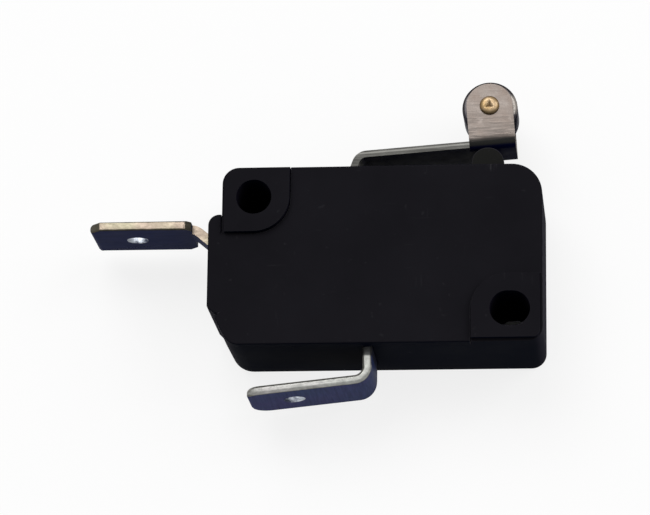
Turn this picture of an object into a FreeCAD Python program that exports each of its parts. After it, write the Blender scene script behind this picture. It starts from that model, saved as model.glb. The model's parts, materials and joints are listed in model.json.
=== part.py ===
"""Miniature snap-action switch with a hinged roller lever and two blade terminals.

Millimetres. The origin is the axis of the round mounting hole at the switch's back face.
+X runs along the length, away from that hole, +Y is the way the plunger stands out, and +Z
is the front, through the cover.
"""
import FreeCAD, Part
import os
import Sketcher

SIZES = {
    "case": {
        "case_length": 27.8,
        "case_height": 15.9,
        "case_depth": 10.3,
        "pad_rise": 0.5,
        "cover_thickness": 1.0,
        "back_wall": 1.2,
        "side_wall": 1.1,
        "roof_wall": 1.2,
        "floor_wall": 1.1,
        "hinge_block_depth": 3.4,
        "hinge_block_end": 10.9,
        "corner_near": 1.45,
        "corner_far": 2.65,
        "corner_low": 1.3,
        "edge_break": 0.15,
    },
    "mounting": {
        "hole_inset": 2.8,
        "hole_radius": 1.55,
        "hole_stretch": 0.2,
        "pad_reach": 3.1,
        "pad_reach_stretched": 3.35,
        "pad_inset": 0.25,
        "pad_clearance": 0.05,
        "pad_corner": 0.6,
    },
    "heel": {
        "heel_depth": 1.2,
        "heel_top": 1.4,
        "heel_low": 9.65,
        "heel_round": 0.95,
        "heel_chamfer": 0.66,
        "notch_depth": 0.3,
        "notch_width": 0.35,
        "foot_inset": 0.75,
        "foot_round": 1.4,
        "foot_round_case": 2.0,
    },
    "lever": {
        "lever_thickness": 0.6,
        "lever_width": 5.4,
        "lever_pivot_along": 7.8,
        "lever_pivot_depth": 1.4,
        "lever_tilt": 4.3,
        "lever_bend": 66,
        "lever_lift": 2.66,
        "lever_bend_radius": 0.75,
        "foot_reach": 0.4,
        "lug_length": 0.8,
        "lug_clearance": 0.05,
        "foot_slot_width": 1.7,
    },
    "roller": {
        "pin_along": 13.08,
        "pin_lift": 3.72,
        "ear_width": 4.04,
        "ear_bend_radius": 0.5,
        "roller_radius": 2.43,
        "roller_gap": 0.1,
        "roller_chamfer": 0.2,
        "pin_radius": 0.55,
        "pin_clearance": 0.05,
        "pin_head_radius": 0.86,
        "pin_head_height": 0.4,
        "pin_dimple": 0.16,
    },
    "plunger": {
        "plunger_from_end": 4.8,
        "plunger_width": 2.85,
        "plunger_depth": 5.0,
        "plunger_clearance": 0.05,
        "plunger_gap": 0.03,
        "shoulder_width": 3.9,
        "shoulder_height": 1.0,
        "nose_width": 1.2,
        "plunger_reach": 3.02,
    },
    "terminals": {
        "tab_width": 6.35,
        "tab_thickness": 0.8,
        "tab_hole_radius": 0.875,
        "tab_hole_from_tip": 3.95,
        "tab_bevel": 0.2,
        "tab_corner": 0.25,
        "slot_clearance": 0.05,
        "contact_tab_level": 1.9,
        "contact_tab_tip": 14.75,
        "contact_tab_shoulder": 5.75,
        "contact_neck_width": 2.4,
        "contact_neck_shift": 0.55,
        "contact_neck_drop": 40,
        "contact_neck_bend": 0.3,
        "contact_run_level": 5.05,
        "contact_run_width": 3.5,
        "contact_run_end": 1.6,
        "contact_tip_chamfer": 0.95,
        "shoulder_chamfer": 0.8,
        "shoulder_chamfer_front": 0.5,
        "strip_bend_radius": 0.8,
        "strip_margin": 1.975,
        "common_leg_along": 9.83,
        "common_tab_level": 15.8,
        "common_tab_tip": -0.65,
        "common_tab_tilt": 6.1,
        "common_tip_round": 1.15,
        "common_tip_round_back": 1.8,
        "common_run_level": 10.6,
        "common_neck_width": 1.0,
        "common_neck_length": 0.9,
        "rivet_clearance": 0.02,
    },
    "contacts": {
        "contact_shift": 0.1,
        "fixed_contact_along": -0.25,
        "fixed_contact_radius": 1.5,
        "fixed_contact_height": 1.0,
        "moving_contact_radius": 1.3,
        "moving_contact_height": 0.6,
        "rivet_radius": 0.5,
        "upset_radius": 0.85,
        "upset_height": 0.2,
    },
    "mechanism": {
        "inner_pivot_along": 6.1,
        "inner_pivot_down": 2.95,
        "inner_pivot_radius": 0.7,
        "inner_pivot_clearance": 0.05,
        "inner_barrel_radius": 1.3,
        "inner_lever_width": 5.2,
        "inner_lever_thickness": 1.0,
        "inner_lever_top": 0.78,
        "inner_lever_overhang": 1.1,
        "inner_lever_tilt": 2.9,
        "notch_from_post": 3.87,
        "notch_drop": 2.65,
        "notch_mouth": 0.45,
        "notch_gap": 0.06,
        "leg_thickness": 1.0,
        "leg_margin": 0.7,
        "blade_thickness": 0.4,
        "blade_tilt": 12.0,
        "blade_overhang": 1.5,
        "blade_knife": 0.25,
        "window_end": 6.4,
        "window_width": 2.8,
        "hook_bar": 0.8,
        "hook_hole": 0.5,
        "stop_from_contact": 1.7,
        "stop_width": 1.2,
        "stop_gap": 0.03,
    },
    "spring": {
        "wire_radius": 0.15,
        "coil_radius": 0.8,
        "coil_pitch": 0.55,
        "coil_turns": 12,
        "coil_start": 1.7,
        "blade_loop_radius": 0.65,
        "neck_loop_radius": 0.85,
        "loop_lift": 0.35,
    },
}

doc = FreeCAD.newDocument("MicroSwitch")
sheet = doc.addObject("Spreadsheet::Sheet", "Sizes")


def fill_sheet():
    """Write each group's heading, then its sizes as a name, a plain number and an alias."""
    row = 1
    for group, sizes in SIZES.items():
        sheet.set(f"A{row}", group)
        row += 1
        for name, size in sizes.items():
            sheet.set(f"A{row}", name)
            sheet.set(f"B{row}", str(size))
            sheet.setAlias(f"B{row}", name)
            row += 1
    doc.recompute()


def size(name):
    """The expression that reads one size from the sheet."""
    return f"Sizes.{name}"


def add(*terms):
    return "(" + " + ".join(terms) + ")"


def less(first, *others):
    return "(" + " - ".join((first,) + others) + ")"


def half(term):
    return f"({term} / 2)"


def minus(term):
    return f"(0 - {term})"


def sine(angle, term="1"):
    return f"({term} * sin({angle} * 1 deg))"


def cosine(angle, term="1"):
    return f"({term} * cos({angle} * 1 deg))"


def tangent(angle, term="1"):
    return f"({term} * tan({angle} * 1 deg))"


def over(first, second):
    return f"({first} / {second})"


def value(expression):
    return float(sheet.evalExpression(expression))


def turned(origin, angle, along, across):
    """Where a point of a frame at origin, turned by angle, lies in the switch's own frame."""
    return (
        add(origin[0], less(cosine(angle, along), sine(angle, across))),
        add(origin[1], add(sine(angle, along), cosine(angle, across))),
    )


# Levels and edges of the case
LEFT = minus(size("hole_inset"))
RIGHT = less(size("case_length"), size("hole_inset"))
TOP = size("hole_inset")
BOTTOM = less(size("hole_inset"), size("case_height"))
COVER_FACE = less(size("case_depth"), size("pad_rise"))
COVER_SEAT = less(COVER_FACE, size("cover_thickness"))
MIDDLE = half(size("case_depth"))
HEEL = less(LEFT, size("heel_depth"))
HEEL_TOP = minus(size("heel_top"))
HEEL_LOW = minus(size("heel_low"))
INNER_LEFT = add(HEEL, size("side_wall"))
INNER_RIGHT = less(RIGHT, size("side_wall"))
ROOF = less(TOP, size("roof_wall"))
FLOOR = add(BOTTOM, size("floor_wall"))
BLOCK_UNDERSIDE = less(TOP, size("hinge_block_depth"))
STRIP_WIDTH = less(size("case_depth"), size("strip_margin"), size("strip_margin"))
FAR_HOLE = (less(RIGHT, size("hole_inset")), add(BOTTOM, size("hole_inset")))
PLUNGER_ALONG = less(RIGHT, size("plunger_from_end"))
PAD_EDGE = size("pad_reach")
PAD_UNDERSIDE = minus(size("pad_reach"))
FAR_PAD_EDGE = less(FAR_HOLE[0], size("pad_reach_stretched"))
FAR_PAD_TOP = add(FAR_HOLE[1], size("pad_reach"))

# Pivots of the moving pieces, and the angles at which they rest
LEVER_PIVOT = (size("lever_pivot_along"), less(TOP, size("lever_pivot_depth")))
LEVER_TILT = size("lever_tilt")
INNER_PIVOT = (size("inner_pivot_along"), minus(size("inner_pivot_down")))
INNER_TILT = size("inner_lever_tilt")
NOTCH_ALONG = less(FAR_PAD_EDGE, size("inner_pivot_along"), size("notch_from_post"))
BLADE_PIVOT = turned(INNER_PIVOT, INNER_TILT, NOTCH_ALONG, minus(size("notch_drop")))
CONTACT_ARM = add(BLADE_PIVOT[0], size("contact_shift"))
STOP_ARM = less(CONTACT_ARM, size("stop_from_contact"))
BLADE_TILT = size("blade_tilt")
LEVER_BACK = less(MIDDLE, half(size("lever_width")))
LEVER_FRONT = add(MIDDLE, half(size("lever_width")))
LUG_BACK = less(LEVER_BACK, size("lug_length"), size("lug_clearance"))
LUG_SEAT_RADIUS = add(
    f"sqrt(pow({half(size('lever_thickness'))}; 2) + pow({size('foot_reach')}; 2))",
    size("lug_clearance"))
PIN_LEVEL = add(size("lever_lift"), size("pin_lift"))
PIN_PLACE = turned(LEVER_PIVOT, LEVER_TILT, size("pin_along"), PIN_LEVEL)


def make_body(label):
    body = doc.addObject("PartDesign::Body", label)
    body.Label = label
    return body


def stand(piece, origin, angle):
    """Put a piece that is drawn in its own frame at origin, turned by angle about +Z."""
    piece.Placement = FreeCAD.Placement(
        FreeCAD.Vector(), FreeCAD.Rotation(FreeCAD.Vector(0, 0, 1), value(angle)))
    piece.setExpression(".Placement.Base.x", origin[0])
    piece.setExpression(".Placement.Base.y", origin[1])
    piece.setExpression(".Placement.Rotation.Angle", angle)


def new_sketch(body, role, level):
    """A sketch on one of the body's own origin planes, lifted off it by level."""
    sketch = body.newObject("Sketcher::SketchObject", body.Name + "_sketch")
    plane = next(item for item in body.Origin.OriginFeatures if item.Role == role)
    sketch.AttachmentSupport = [(plane, "")]
    sketch.MapMode = "FlatFace"
    sketch.setExpression(".AttachmentOffset.Base.z", level)
    return sketch


def fix(sketch, line, point, place):
    """Hold one point of a line or circle at place, measured from the sketch's origin."""
    for kind, distance in zip(("DistanceX", "DistanceY"), place):
        constraint = Sketcher.Constraint(kind, -1, 1, line, point, value(distance))
        number = sketch.addConstraint(constraint)
        sketch.setExpression(f"Constraints[{number}]", distance)


def outline(body, corners, level="0", role="XY_Plane"):
    """A closed outline with straight sides through corners."""
    sketch = new_sketch(body, role, level)
    places = [FreeCAD.Vector(value(along), value(across), 0) for along, across in corners]
    for start, end in zip(places, places[1:] + places[:1]):
        sketch.addGeometry(Part.LineSegment(start, end))
    for line in range(len(corners)):
        after = (line + 1) % len(corners)
        sketch.addConstraint(Sketcher.Constraint("Coincident", line, 2, after, 1))
    for line, corner in enumerate(corners):
        fix(sketch, line, 1, corner)
    return sketch


def box_outline(body, low, high, level="0", role="XY_Plane"):
    corners = [low, (high[0], low[1]), high, (low[0], high[1])]
    return outline(body, corners, level, role)


def ring(body, centre, radius, level="0", role="XY_Plane"):
    """A full circle."""
    sketch = new_sketch(body, role, level)
    place = FreeCAD.Vector(value(centre[0]), value(centre[1]), 0)
    sketch.addGeometry(Part.Circle(place, FreeCAD.Vector(0, 0, 1), value(radius)))
    fix(sketch, 0, 3, centre)
    number = sketch.addConstraint(Sketcher.Constraint("Radius", 0, value(radius)))
    sketch.setExpression(f"Constraints[{number}]", radius)
    return sketch


def pad(body, sketch, length):
    feature = body.newObject("PartDesign::Pad", body.Name + "_pad")
    feature.Profile = sketch
    feature.setExpression("Length", length)
    doc.recompute()
    return feature


def cut(body, sketch, depth, forward=True):
    """Cut from the sketch by depth, along its normal or against it; it must remove something."""
    before = body.Shape.Volume
    feature = body.newObject("PartDesign::Pocket", body.Name + "_cut")
    feature.Profile = sketch
    feature.Reversed = forward
    feature.setExpression("Length", depth)
    doc.recompute()
    if not body.Shape.Volume < before:
        raise RuntimeError(f"{feature.Name} removes nothing")
    return feature


def cut_through(body, sketch):
    """Cut both ways from the sketch, through everything."""
    before = body.Shape.Volume
    feature = body.newObject("PartDesign::Pocket", body.Name + "_through")
    feature.Profile = sketch
    feature.Type = 1
    feature.Midplane = True
    doc.recompute()
    if not body.Shape.Volume < before:
        raise RuntimeError(f"{feature.Name} removes nothing")
    return feature


def edges_at(body, points):
    """Names of the straight edges of a body that pass through points of its own frame."""
    names = []
    for point in points:
        vertex = Part.Vertex(FreeCAD.Vector(*[value(term) for term in point]))
        for number, edge in enumerate(body.Tip.Shape.Edges, start=1):
            straight = edge.Curve.TypeId == "Part::GeomLine"
            if straight and edge.distToShape(vertex)[0] < 1e-4:
                names.append(f"Edge{number}")
    return sorted(set(names))


def dress(body, kind, names, amount):
    """Round or chamfer the named edges of the body by amount."""
    if not names:
        raise RuntimeError(f"no edge of {body.Label} to finish")
    base = body.Tip
    feature = body.newObject(f"PartDesign::{kind}", f"{body.Name}_{kind.lower()}")
    feature.Base = (base, names)
    feature.setExpression("Radius" if kind == "Fillet" else "Size", amount)
    doc.recompute()
    if "Invalid" in feature.State:
        raise RuntimeError(f"{feature.Name} could not be made")
    return feature


def round_upright(body, corners, radius, level):
    """Round the edges that stand on corners of an outline, found at level."""
    points = [(along, across, level) for along, across in corners]
    dress(body, "Fillet", edges_at(body, points), radius)


def outline_edges(body, level):
    """Names of the edges of the case's outer outline at level, inner corners left out."""
    outer = value(LEFT) + 0.01
    names = []
    for number, edge in enumerate(body.Tip.Shape.Edges, start=1):
        box = edge.BoundBox
        if abs(box.ZMin - level) > 1e-4 or abs(box.ZMax - level) > 1e-4:
            continue
        on_side = box.XMax < outer or box.XMin > value(RIGHT) - value(size("corner_far")) - 0.01
        on_end = box.YMin > value(TOP) - 0.01 or box.YMax < value(BOTTOM) + 0.01
        if on_side or on_end:
            names.append(f"Edge{number}")
    return names


def cylinder(label, radius, height, place):
    """An upright cylinder, its foot's centre at place."""
    piece = doc.addObject("Part::Cylinder", label)
    piece.setExpression("Radius", radius)
    piece.setExpression("Height", height)
    for axis, distance in zip("xyz", place):
        piece.setExpression(f".Placement.Base.{axis}", distance)
    return piece


def lying(label, radius, height, place):
    """A cylinder along +Y, its end's centre at place."""
    piece = cylinder(label, radius, height, place)
    piece.Placement.Rotation = FreeCAD.Rotation(FreeCAD.Vector(1, 0, 0), -90)
    return piece


def join(label, pieces):
    """One solid made of pieces that touch or overlap."""
    whole = doc.addObject("Part::MultiFuse", label)
    whole.Label = label
    whole.Shapes = pieces
    whole.Refine = True
    return whole


# Outline shared by the case and its cover, and the slots that both of them meet

CHAMFER_END = (add(HEEL, size("heel_chamfer")), less(HEEL_LOW, size("heel_chamfer")))
NOTCH_ROOT = (add(CHAMFER_END[0], size("notch_depth")), CHAMFER_END[1])
NOTCH_LIP = (CHAMFER_END[0], less(CHAMFER_END[1], size("notch_width")))
FOOT_CORNER = (add(LEFT, size("foot_inset")), BOTTOM)
CASE_CORNERS = [
    (LEFT, TOP),
    (LEFT, HEEL_TOP),
    (HEEL, HEEL_TOP),
    (HEEL, HEEL_LOW),
    CHAMFER_END,
    NOTCH_ROOT,
    NOTCH_LIP,
    FOOT_CORNER,
    (RIGHT, BOTTOM),
    (RIGHT, TOP),
]


def lever_slot(low, gap):
    """Slot in the roof for the lever's foot from low up, or a tongue smaller by gap in it."""
    left = less(LEVER_PIVOT[0], size("lever_thickness"), minus(gap))
    right = less(add(left, size("foot_slot_width")), gap, gap)
    return (left, low), (right, TOP)


def plunger_slot(gap):
    """Slot in the roof for the plunger, wider than its stem by gap on each side."""
    reach = add(half(size("plunger_width")), gap)
    low = (less(PLUNGER_ALONG, reach), ROOF)
    return low, (add(PLUNGER_ALONG, reach), TOP)


def common_slot(gap):
    """Slot in the floor for the common terminal's leg."""
    reach = add(half(size("tab_thickness")), gap)
    low = (less(size("common_leg_along"), reach), BOTTOM)
    return low, (add(size("common_leg_along"), reach), FLOOR)


NECK_DROP = size("contact_neck_drop")
NECK_HALF = over(half(size("tab_thickness")), cosine(NECK_DROP))
NECK_START = less(size("contact_neck_bend"), size("contact_tab_shoulder"))
NECK_BACK = less(add(MIDDLE, size("contact_neck_shift")), half(size("contact_neck_width")))
NECK_FRONT = add(NECK_BACK, size("contact_neck_width"))


def neck_level(along, shift):
    """Height of the sloping neck of the contact terminal above the point along."""
    fall = tangent(NECK_DROP, less(along, NECK_START))
    return less(add(minus(size("contact_tab_level")), shift), fall)


def contact_slot(outer, inner, gap):
    """Sloping slot through the heel's wall for the contact terminal's neck."""
    reach = add(NECK_HALF, gap)
    return [
        (outer, neck_level(outer, minus(reach))),
        (inner, neck_level(inner, minus(reach))),
        (inner, neck_level(inner, reach)),
        (outer, neck_level(outer, reach)),
    ]


def make_case():
    """Moulded half shell: back, side walls, two mounting posts, pivot boss and rest stop."""
    body = make_body("case")
    pad(body, outline(body, CASE_CORNERS), COVER_SEAT)
    near_post = [(LEFT, PAD_UNDERSIDE), (PAD_EDGE, PAD_UNDERSIDE), (PAD_EDGE, TOP), (LEFT, TOP)]
    far_post = [(FAR_PAD_EDGE, BOTTOM), (RIGHT, BOTTOM), (RIGHT, FAR_PAD_TOP),
                (FAR_PAD_EDGE, FAR_PAD_TOP)]
    for post in (near_post, far_post):
        pad(body, outline(body, post), COVER_FACE)

    # Raised pads around the two holes
    inset = size("pad_inset")
    near_pad = [(add(LEFT, inset), PAD_UNDERSIDE), (PAD_EDGE, less(TOP, inset))]
    far_pad = [(FAR_PAD_EDGE, add(BOTTOM, inset)), (less(RIGHT, inset), FAR_PAD_TOP)]
    for low, high in (near_pad, far_pad):
        pad(body, box_outline(body, low, high, COVER_FACE), size("pad_rise"))
    pad_level = add(COVER_FACE, half(size("pad_rise")))
    near_round = less(size("corner_near"), inset)
    round_upright(body, [(near_pad[0][0], near_pad[1][1])], near_round, pad_level)
    round_upright(body, [(far_pad[1][0], far_pad[0][1])], size("pad_corner"), pad_level)
    post_level = add(COVER_SEAT, half(size("cover_thickness")))
    for corner in ((PAD_EDGE, PAD_UNDERSIDE), (FAR_PAD_EDGE, FAR_PAD_TOP)):
        round_upright(body, [corner], size("pad_reach"), post_level)
    outer_rounds = [
        ((LEFT, TOP), "corner_near"),
        ((RIGHT, BOTTOM), "corner_low"),
        ((RIGHT, TOP), "corner_far"),
        (FOOT_CORNER, "foot_round_case"),
        ((HEEL, HEEL_TOP), "heel_round"),
    ]
    for corner, radius in outer_rounds:
        round_upright(body, [corner], size(radius), half(COVER_SEAT))

    # Room for the mechanism
    foot_inner = add(FOOT_CORNER[0], size("side_wall"))
    room = [
        (INNER_LEFT, PAD_UNDERSIDE),
        (INNER_LEFT, HEEL_LOW),
        (add(NOTCH_ROOT[0], size("side_wall")), NOTCH_LIP[1]),
        (foot_inner, FLOOR),
        (FAR_PAD_EDGE, FLOOR),
        (FAR_PAD_EDGE, FAR_PAD_TOP),
        (INNER_RIGHT, FAR_PAD_TOP),
        (INNER_RIGHT, ROOF),
        (size("hinge_block_end"), ROOF),
        (size("hinge_block_end"), BLOCK_UNDERSIDE),
        (PAD_EDGE, BLOCK_UNDERSIDE),
        (PAD_EDGE, PAD_UNDERSIDE),
    ]
    depth = less(COVER_SEAT, size("back_wall"))
    cut(body, outline(body, room, size("back_wall")), depth)

    # Slots in the walls, open to the front
    gap = size("slot_clearance")
    slots = [
        (lever_slot(LEVER_PIVOT[1], "0"), less(LEVER_BACK, gap, size("lug_clearance"))),
        (plunger_slot(size("plunger_clearance")),
         less(MIDDLE, half(size("plunger_depth")), size("plunger_clearance"))),
        (common_slot(gap), less(size("strip_margin"), gap)),
    ]
    for (low, high), level in slots:
        cut(body, box_outline(body, low, high, level), less(COVER_SEAT, level))
    neck_slot = contact_slot(less(HEEL, gap), add(INNER_LEFT, gap), gap)
    slot_back = less(NECK_BACK, gap)
    cut(body, outline(body, neck_slot, slot_back), less(COVER_SEAT, slot_back))
    lug_seat = ring(body, LEVER_PIVOT, LUG_SEAT_RADIUS, LUG_BACK)
    cut(body, lug_seat, less(COVER_SEAT, LUG_BACK))

    # Mounting holes, one round and one stretched along the case
    cut_through(body, ring(body, ("0", "0"), size("hole_radius")))
    for shift in (size("hole_stretch"), minus(size("hole_stretch"))):
        place = (add(FAR_HOLE[0], shift), FAR_HOLE[1])
        cut_through(body, ring(body, place, size("hole_radius")))
    flat_low = (less(FAR_HOLE[0], size("hole_stretch")), less(FAR_HOLE[1], size("hole_radius")))
    flat_high = (add(FAR_HOLE[0], size("hole_stretch")), add(FAR_HOLE[1], size("hole_radius")))
    cut_through(body, box_outline(body, flat_low, flat_high))

    # Boss for the inner lever and the stop on which the blade rests
    boss_root = half(size("back_wall"))
    boss = ring(body, INNER_PIVOT, size("inner_pivot_radius"), boss_root)
    pad(body, boss, less(COVER_SEAT, boss_root, gap))
    stop_left = less(BLADE_PIVOT[0], STOP_ARM)
    stop_top = less(BLADE_PIVOT[1], tangent(BLADE_TILT, STOP_ARM),
                    over(half(size("blade_thickness")), cosine(BLADE_TILT)), size("stop_gap"))
    stop_low = (stop_left, less(FLOOR, half(size("floor_wall"))))
    stop = box_outline(body, stop_low, (add(stop_left, size("stop_width")), stop_top), boss_root)
    pad(body, stop, less(add(MIDDLE, half(size("inner_lever_width"))), boss_root))
    dress(body, "Fillet", outline_edges(body, 0.0), size("edge_break"))
    return body


def make_cover():
    """Flat moulded cover, cut away around the posts, with tongues that fill the open slots."""
    body = make_body("cover")
    pad(body, outline(body, CASE_CORNERS, COVER_SEAT), size("cover_thickness"))
    level = add(COVER_SEAT, half(size("cover_thickness")))
    round_upright(body, [(RIGHT, TOP)], size("corner_far"), level)
    round_upright(body, [FOOT_CORNER], size("foot_round"), level)
    round_upright(body, [(HEEL, HEEL_TOP)], size("heel_round"), level)
    gap = size("pad_clearance")
    beyond = size("side_wall")
    near_low = (less(LEFT, gap), less(PAD_UNDERSIDE, gap))
    near_high = (add(PAD_EDGE, gap), add(TOP, beyond))
    far_low = (less(FAR_PAD_EDGE, gap), less(BOTTOM, beyond))
    far_high = (add(RIGHT, beyond), add(FAR_PAD_TOP, gap))
    cut(body, box_outline(body, near_low, near_high, COVER_SEAT), size("cover_thickness"))
    cut(body, box_outline(body, far_low, far_high, COVER_SEAT), size("cover_thickness"))
    round_inner = add(size("pad_reach"), gap)
    round_upright(body, [(near_high[0], near_low[1])], round_inner, level)
    round_upright(body, [(far_low[0], far_high[1])], round_inner, level)

    # Tongues that close the slots in front of what stands in them
    gap = size("slot_clearance")
    above_lug = add(LEVER_PIVOT[1], LUG_SEAT_RADIUS)
    tongues = [
        (lever_slot(above_lug, gap), add(LEVER_FRONT, size("lug_clearance"))),
        (plunger_slot("0"), add(MIDDLE, half(size("plunger_depth")), gap)),
        (common_slot("0"), add(size("strip_margin"), STRIP_WIDTH, gap)),
    ]
    for (low, high), tongue_level in tongues:
        sketch = box_outline(body, low, high, tongue_level)
        pad(body, sketch, less(level, tongue_level))
    above_neck = add(NECK_FRONT, gap)
    neck_tongue = outline(body, contact_slot(HEEL, INNER_LEFT, "0"), above_neck)
    pad(body, neck_tongue, less(level, above_neck))
    dress(body, "Fillet", outline_edges(body, value(COVER_FACE)), size("edge_break"))
    return body


def plunger_top():
    """Height of the plunger's crown, just under the resting lever."""
    arm = less(PLUNGER_ALONG, LEVER_PIVOT[0])
    rise = add(tangent(LEVER_TILT, arm), over(size("lever_lift"), cosine(LEVER_TILT)))
    return less(add(LEVER_PIVOT[1], rise), size("plunger_gap"))


def make_plunger():
    """Moulded button: domed stem, shoulder under the roof and rounded nose."""
    body = make_body("plunger")
    stem = half(size("plunger_width"))
    shoulder = half(size("shoulder_width"))
    nose = half(size("nose_width"))
    shoulder_top = less(ROOF, size("slot_clearance"))
    shoulder_low = less(shoulder_top, size("shoulder_height"))
    nose_tip = less(ROOF, size("plunger_reach"))
    steps = [
        (nose, nose_tip),
        (nose, shoulder_low),
        (shoulder, shoulder_low),
        (shoulder, shoulder_top),
        (stem, shoulder_top),
        (stem, plunger_top()),
    ]
    right = [(add(PLUNGER_ALONG, reach), height) for reach, height in steps]
    left = [(less(PLUNGER_ALONG, reach), height) for reach, height in reversed(steps)]
    back = less(MIDDLE, half(size("plunger_depth")))
    pad(body, outline(body, right + left, back), size("plunger_depth"))
    crown = less(stem, half(size("plunger_gap")))
    round_upright(body, [right[-1], left[0]], crown, MIDDLE)
    round_upright(body, [right[0], left[-1]], less(nose, half(size("plunger_gap"))), MIDDLE)
    return body


def make_roller_lever():
    """Folded sheet: foot with two lugs, bend, strip and the U bracket that holds the roller.

    It is drawn in its own frame, with the origin on its pivot and the strip along +X.
    """
    body = make_body("lever_strip")
    bend = size("lever_bend")
    side = half(size("lever_thickness"))
    under = size("lever_lift")
    over_face = add(under, size("lever_thickness"))
    ear = half(size("ear_width"))
    bracket_start = less(size("pin_along"), ear)

    def foot_point(distance, across):
        """A point at distance up the foot, across it towards +X."""
        return (add(cosine(bend, distance), sine(bend, across)),
                less(sine(bend, distance), cosine(bend, across)))

    def foot_at(height, across):
        """Where a face of the foot, across from its middle, reaches height."""
        distance = over(add(height, cosine(bend, across)), sine(bend))
        return foot_point(distance, across)

    foot_end = minus(size("foot_reach"))
    inner_bend = foot_at(under, side)
    outer_bend = foot_at(over_face, minus(side))
    strip = [
        foot_point(foot_end, side),
        inner_bend,
        (bracket_start, under),
        (bracket_start, over_face),
        outer_bend,
        foot_point(foot_end, minus(side)),
    ]
    pad(body, outline(body, strip, LEVER_BACK), size("lever_width"))
    round_upright(body, [inner_bend], size("lever_bend_radius"), MIDDLE)
    outer_radius = add(size("lever_bend_radius"), size("lever_thickness"))
    round_upright(body, [outer_bend], outer_radius, MIDDLE)

    # Lugs that stand out on both sides of the foot
    lug = [foot_point(foot_end, side), foot_point(size("foot_reach"), side),
           foot_point(size("foot_reach"), minus(side)), foot_point(foot_end, minus(side))]
    lug_back = less(LEVER_BACK, size("lug_length"))
    lug_span = add(size("lever_width"), size("lug_length"), size("lug_length"))
    pad(body, outline(body, lug, lug_back), lug_span)

    # U bracket, drawn as its section across the strip
    crest = add(under, size("pin_lift"), ear)
    inner_back = add(LEVER_BACK, size("lever_thickness"))
    inner_front = less(LEVER_FRONT, size("lever_thickness"))
    section = [
        (under, LEVER_BACK),
        (crest, LEVER_BACK),
        (crest, inner_back),
        (over_face, inner_back),
        (over_face, inner_front),
        (crest, inner_front),
        (crest, LEVER_FRONT),
        (under, LEVER_FRONT),
    ]
    bracket = make_body("lever_bracket")
    pad(bracket, outline(bracket, section, bracket_start, "YZ_Plane"), size("ear_width"))
    middle = size("pin_along")
    inner_edges = [(middle, over_face, inner_back), (middle, over_face, inner_front)]
    dress(bracket, "Fillet", edges_at(bracket, inner_edges), size("ear_bend_radius"))
    outer_edges = [(middle, under, LEVER_BACK), (middle, under, LEVER_FRONT)]
    fold = add(size("ear_bend_radius"), size("lever_thickness"))
    dress(bracket, "Fillet", edges_at(bracket, outer_edges), fold)
    ear_ends = []
    for along in (bracket_start, add(bracket_start, size("ear_width"))):
        for level in (LEVER_BACK, LEVER_FRONT):
            inward = side if level is LEVER_BACK else minus(side)
            ear_ends.append((along, crest, add(level, inward)))
    dress(bracket, "Fillet", edges_at(bracket, ear_ends), less(ear, size("rivet_clearance")))
    cut_through(bracket, ring(bracket, (size("pin_along"), PIN_LEVEL), size("pin_radius")))
    lever = join("roller_lever", [body, bracket])
    stand(lever, LEVER_PIVOT, LEVER_TILT)
    return lever


def make_roller():
    """Turned roller with a plain bore and broken edges."""
    body = make_body("roller")
    back = add(LEVER_BACK, size("lever_thickness"), size("roller_gap"))
    length = less(size("lever_width"), size("lever_thickness"), size("lever_thickness"),
                  size("roller_gap"), size("roller_gap"))
    pad(body, ring(body, ("0", "0"), size("roller_radius"), back), length)
    rims = [f"Edge{number}" for number, edge in enumerate(body.Tip.Shape.Edges, start=1)
            if edge.Curve.TypeId == "Part::GeomCircle"]
    dress(body, "Chamfer", rims, size("roller_chamfer"))
    bore = ring(body, ("0", "0"), add(size("pin_radius"), size("pin_clearance")), back)
    cut(body, bore, length)
    stand(body, PIN_PLACE, "0")
    return body


def make_roller_pin():
    """Riveted pin: shank through both ears and the roller, with a dimpled dome on each end."""
    body = make_body("roller_pin")
    front = LEVER_FRONT
    back = LEVER_BACK
    top = add(front, size("pin_head_height"))
    bottom = less(back, size("pin_head_height"))
    dimple = size("pin_dimple")
    profile = [
        ("0", add(bottom, dimple)),
        (dimple, bottom),
        (size("pin_head_radius"), bottom),
        (size("pin_head_radius"), back),
        (size("pin_radius"), back),
        (size("pin_radius"), front),
        (size("pin_head_radius"), front),
        (size("pin_head_radius"), top),
        (dimple, top),
        ("0", less(top, dimple)),
    ]
    sketch = outline(body, profile, role="XZ_Plane")
    turn = body.newObject("PartDesign::Revolution", "roller_pin_turn")
    turn.Profile = sketch
    turn.ReferenceAxis = (sketch, ["V_Axis"])
    turn.Angle = 360
    doc.recompute()
    rims = []
    for number, edge in enumerate(body.Tip.Shape.Edges, start=1):
        if edge.Curve.TypeId != "Part::GeomCircle":
            continue
        on_rim = abs(edge.Curve.Radius - value(size("pin_head_radius"))) < 1e-4
        at_end = edge.BoundBox.ZMin > value(front) + 0.1 or edge.BoundBox.ZMax < value(back) - 0.1
        if on_rim and at_end:
            rims.append(f"Edge{number}")
    dress(body, "Fillet", rims, less(size("pin_head_height"), size("pin_clearance")))
    stand(body, PIN_PLACE, "0")
    return body


def tab_hole(body, along):
    """Locking hole through a blade, across its width's middle."""
    place = (along, MIDDLE)
    cut_through(body, ring(body, place, size("tab_hole_radius"), role="XZ_Plane"))


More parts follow.
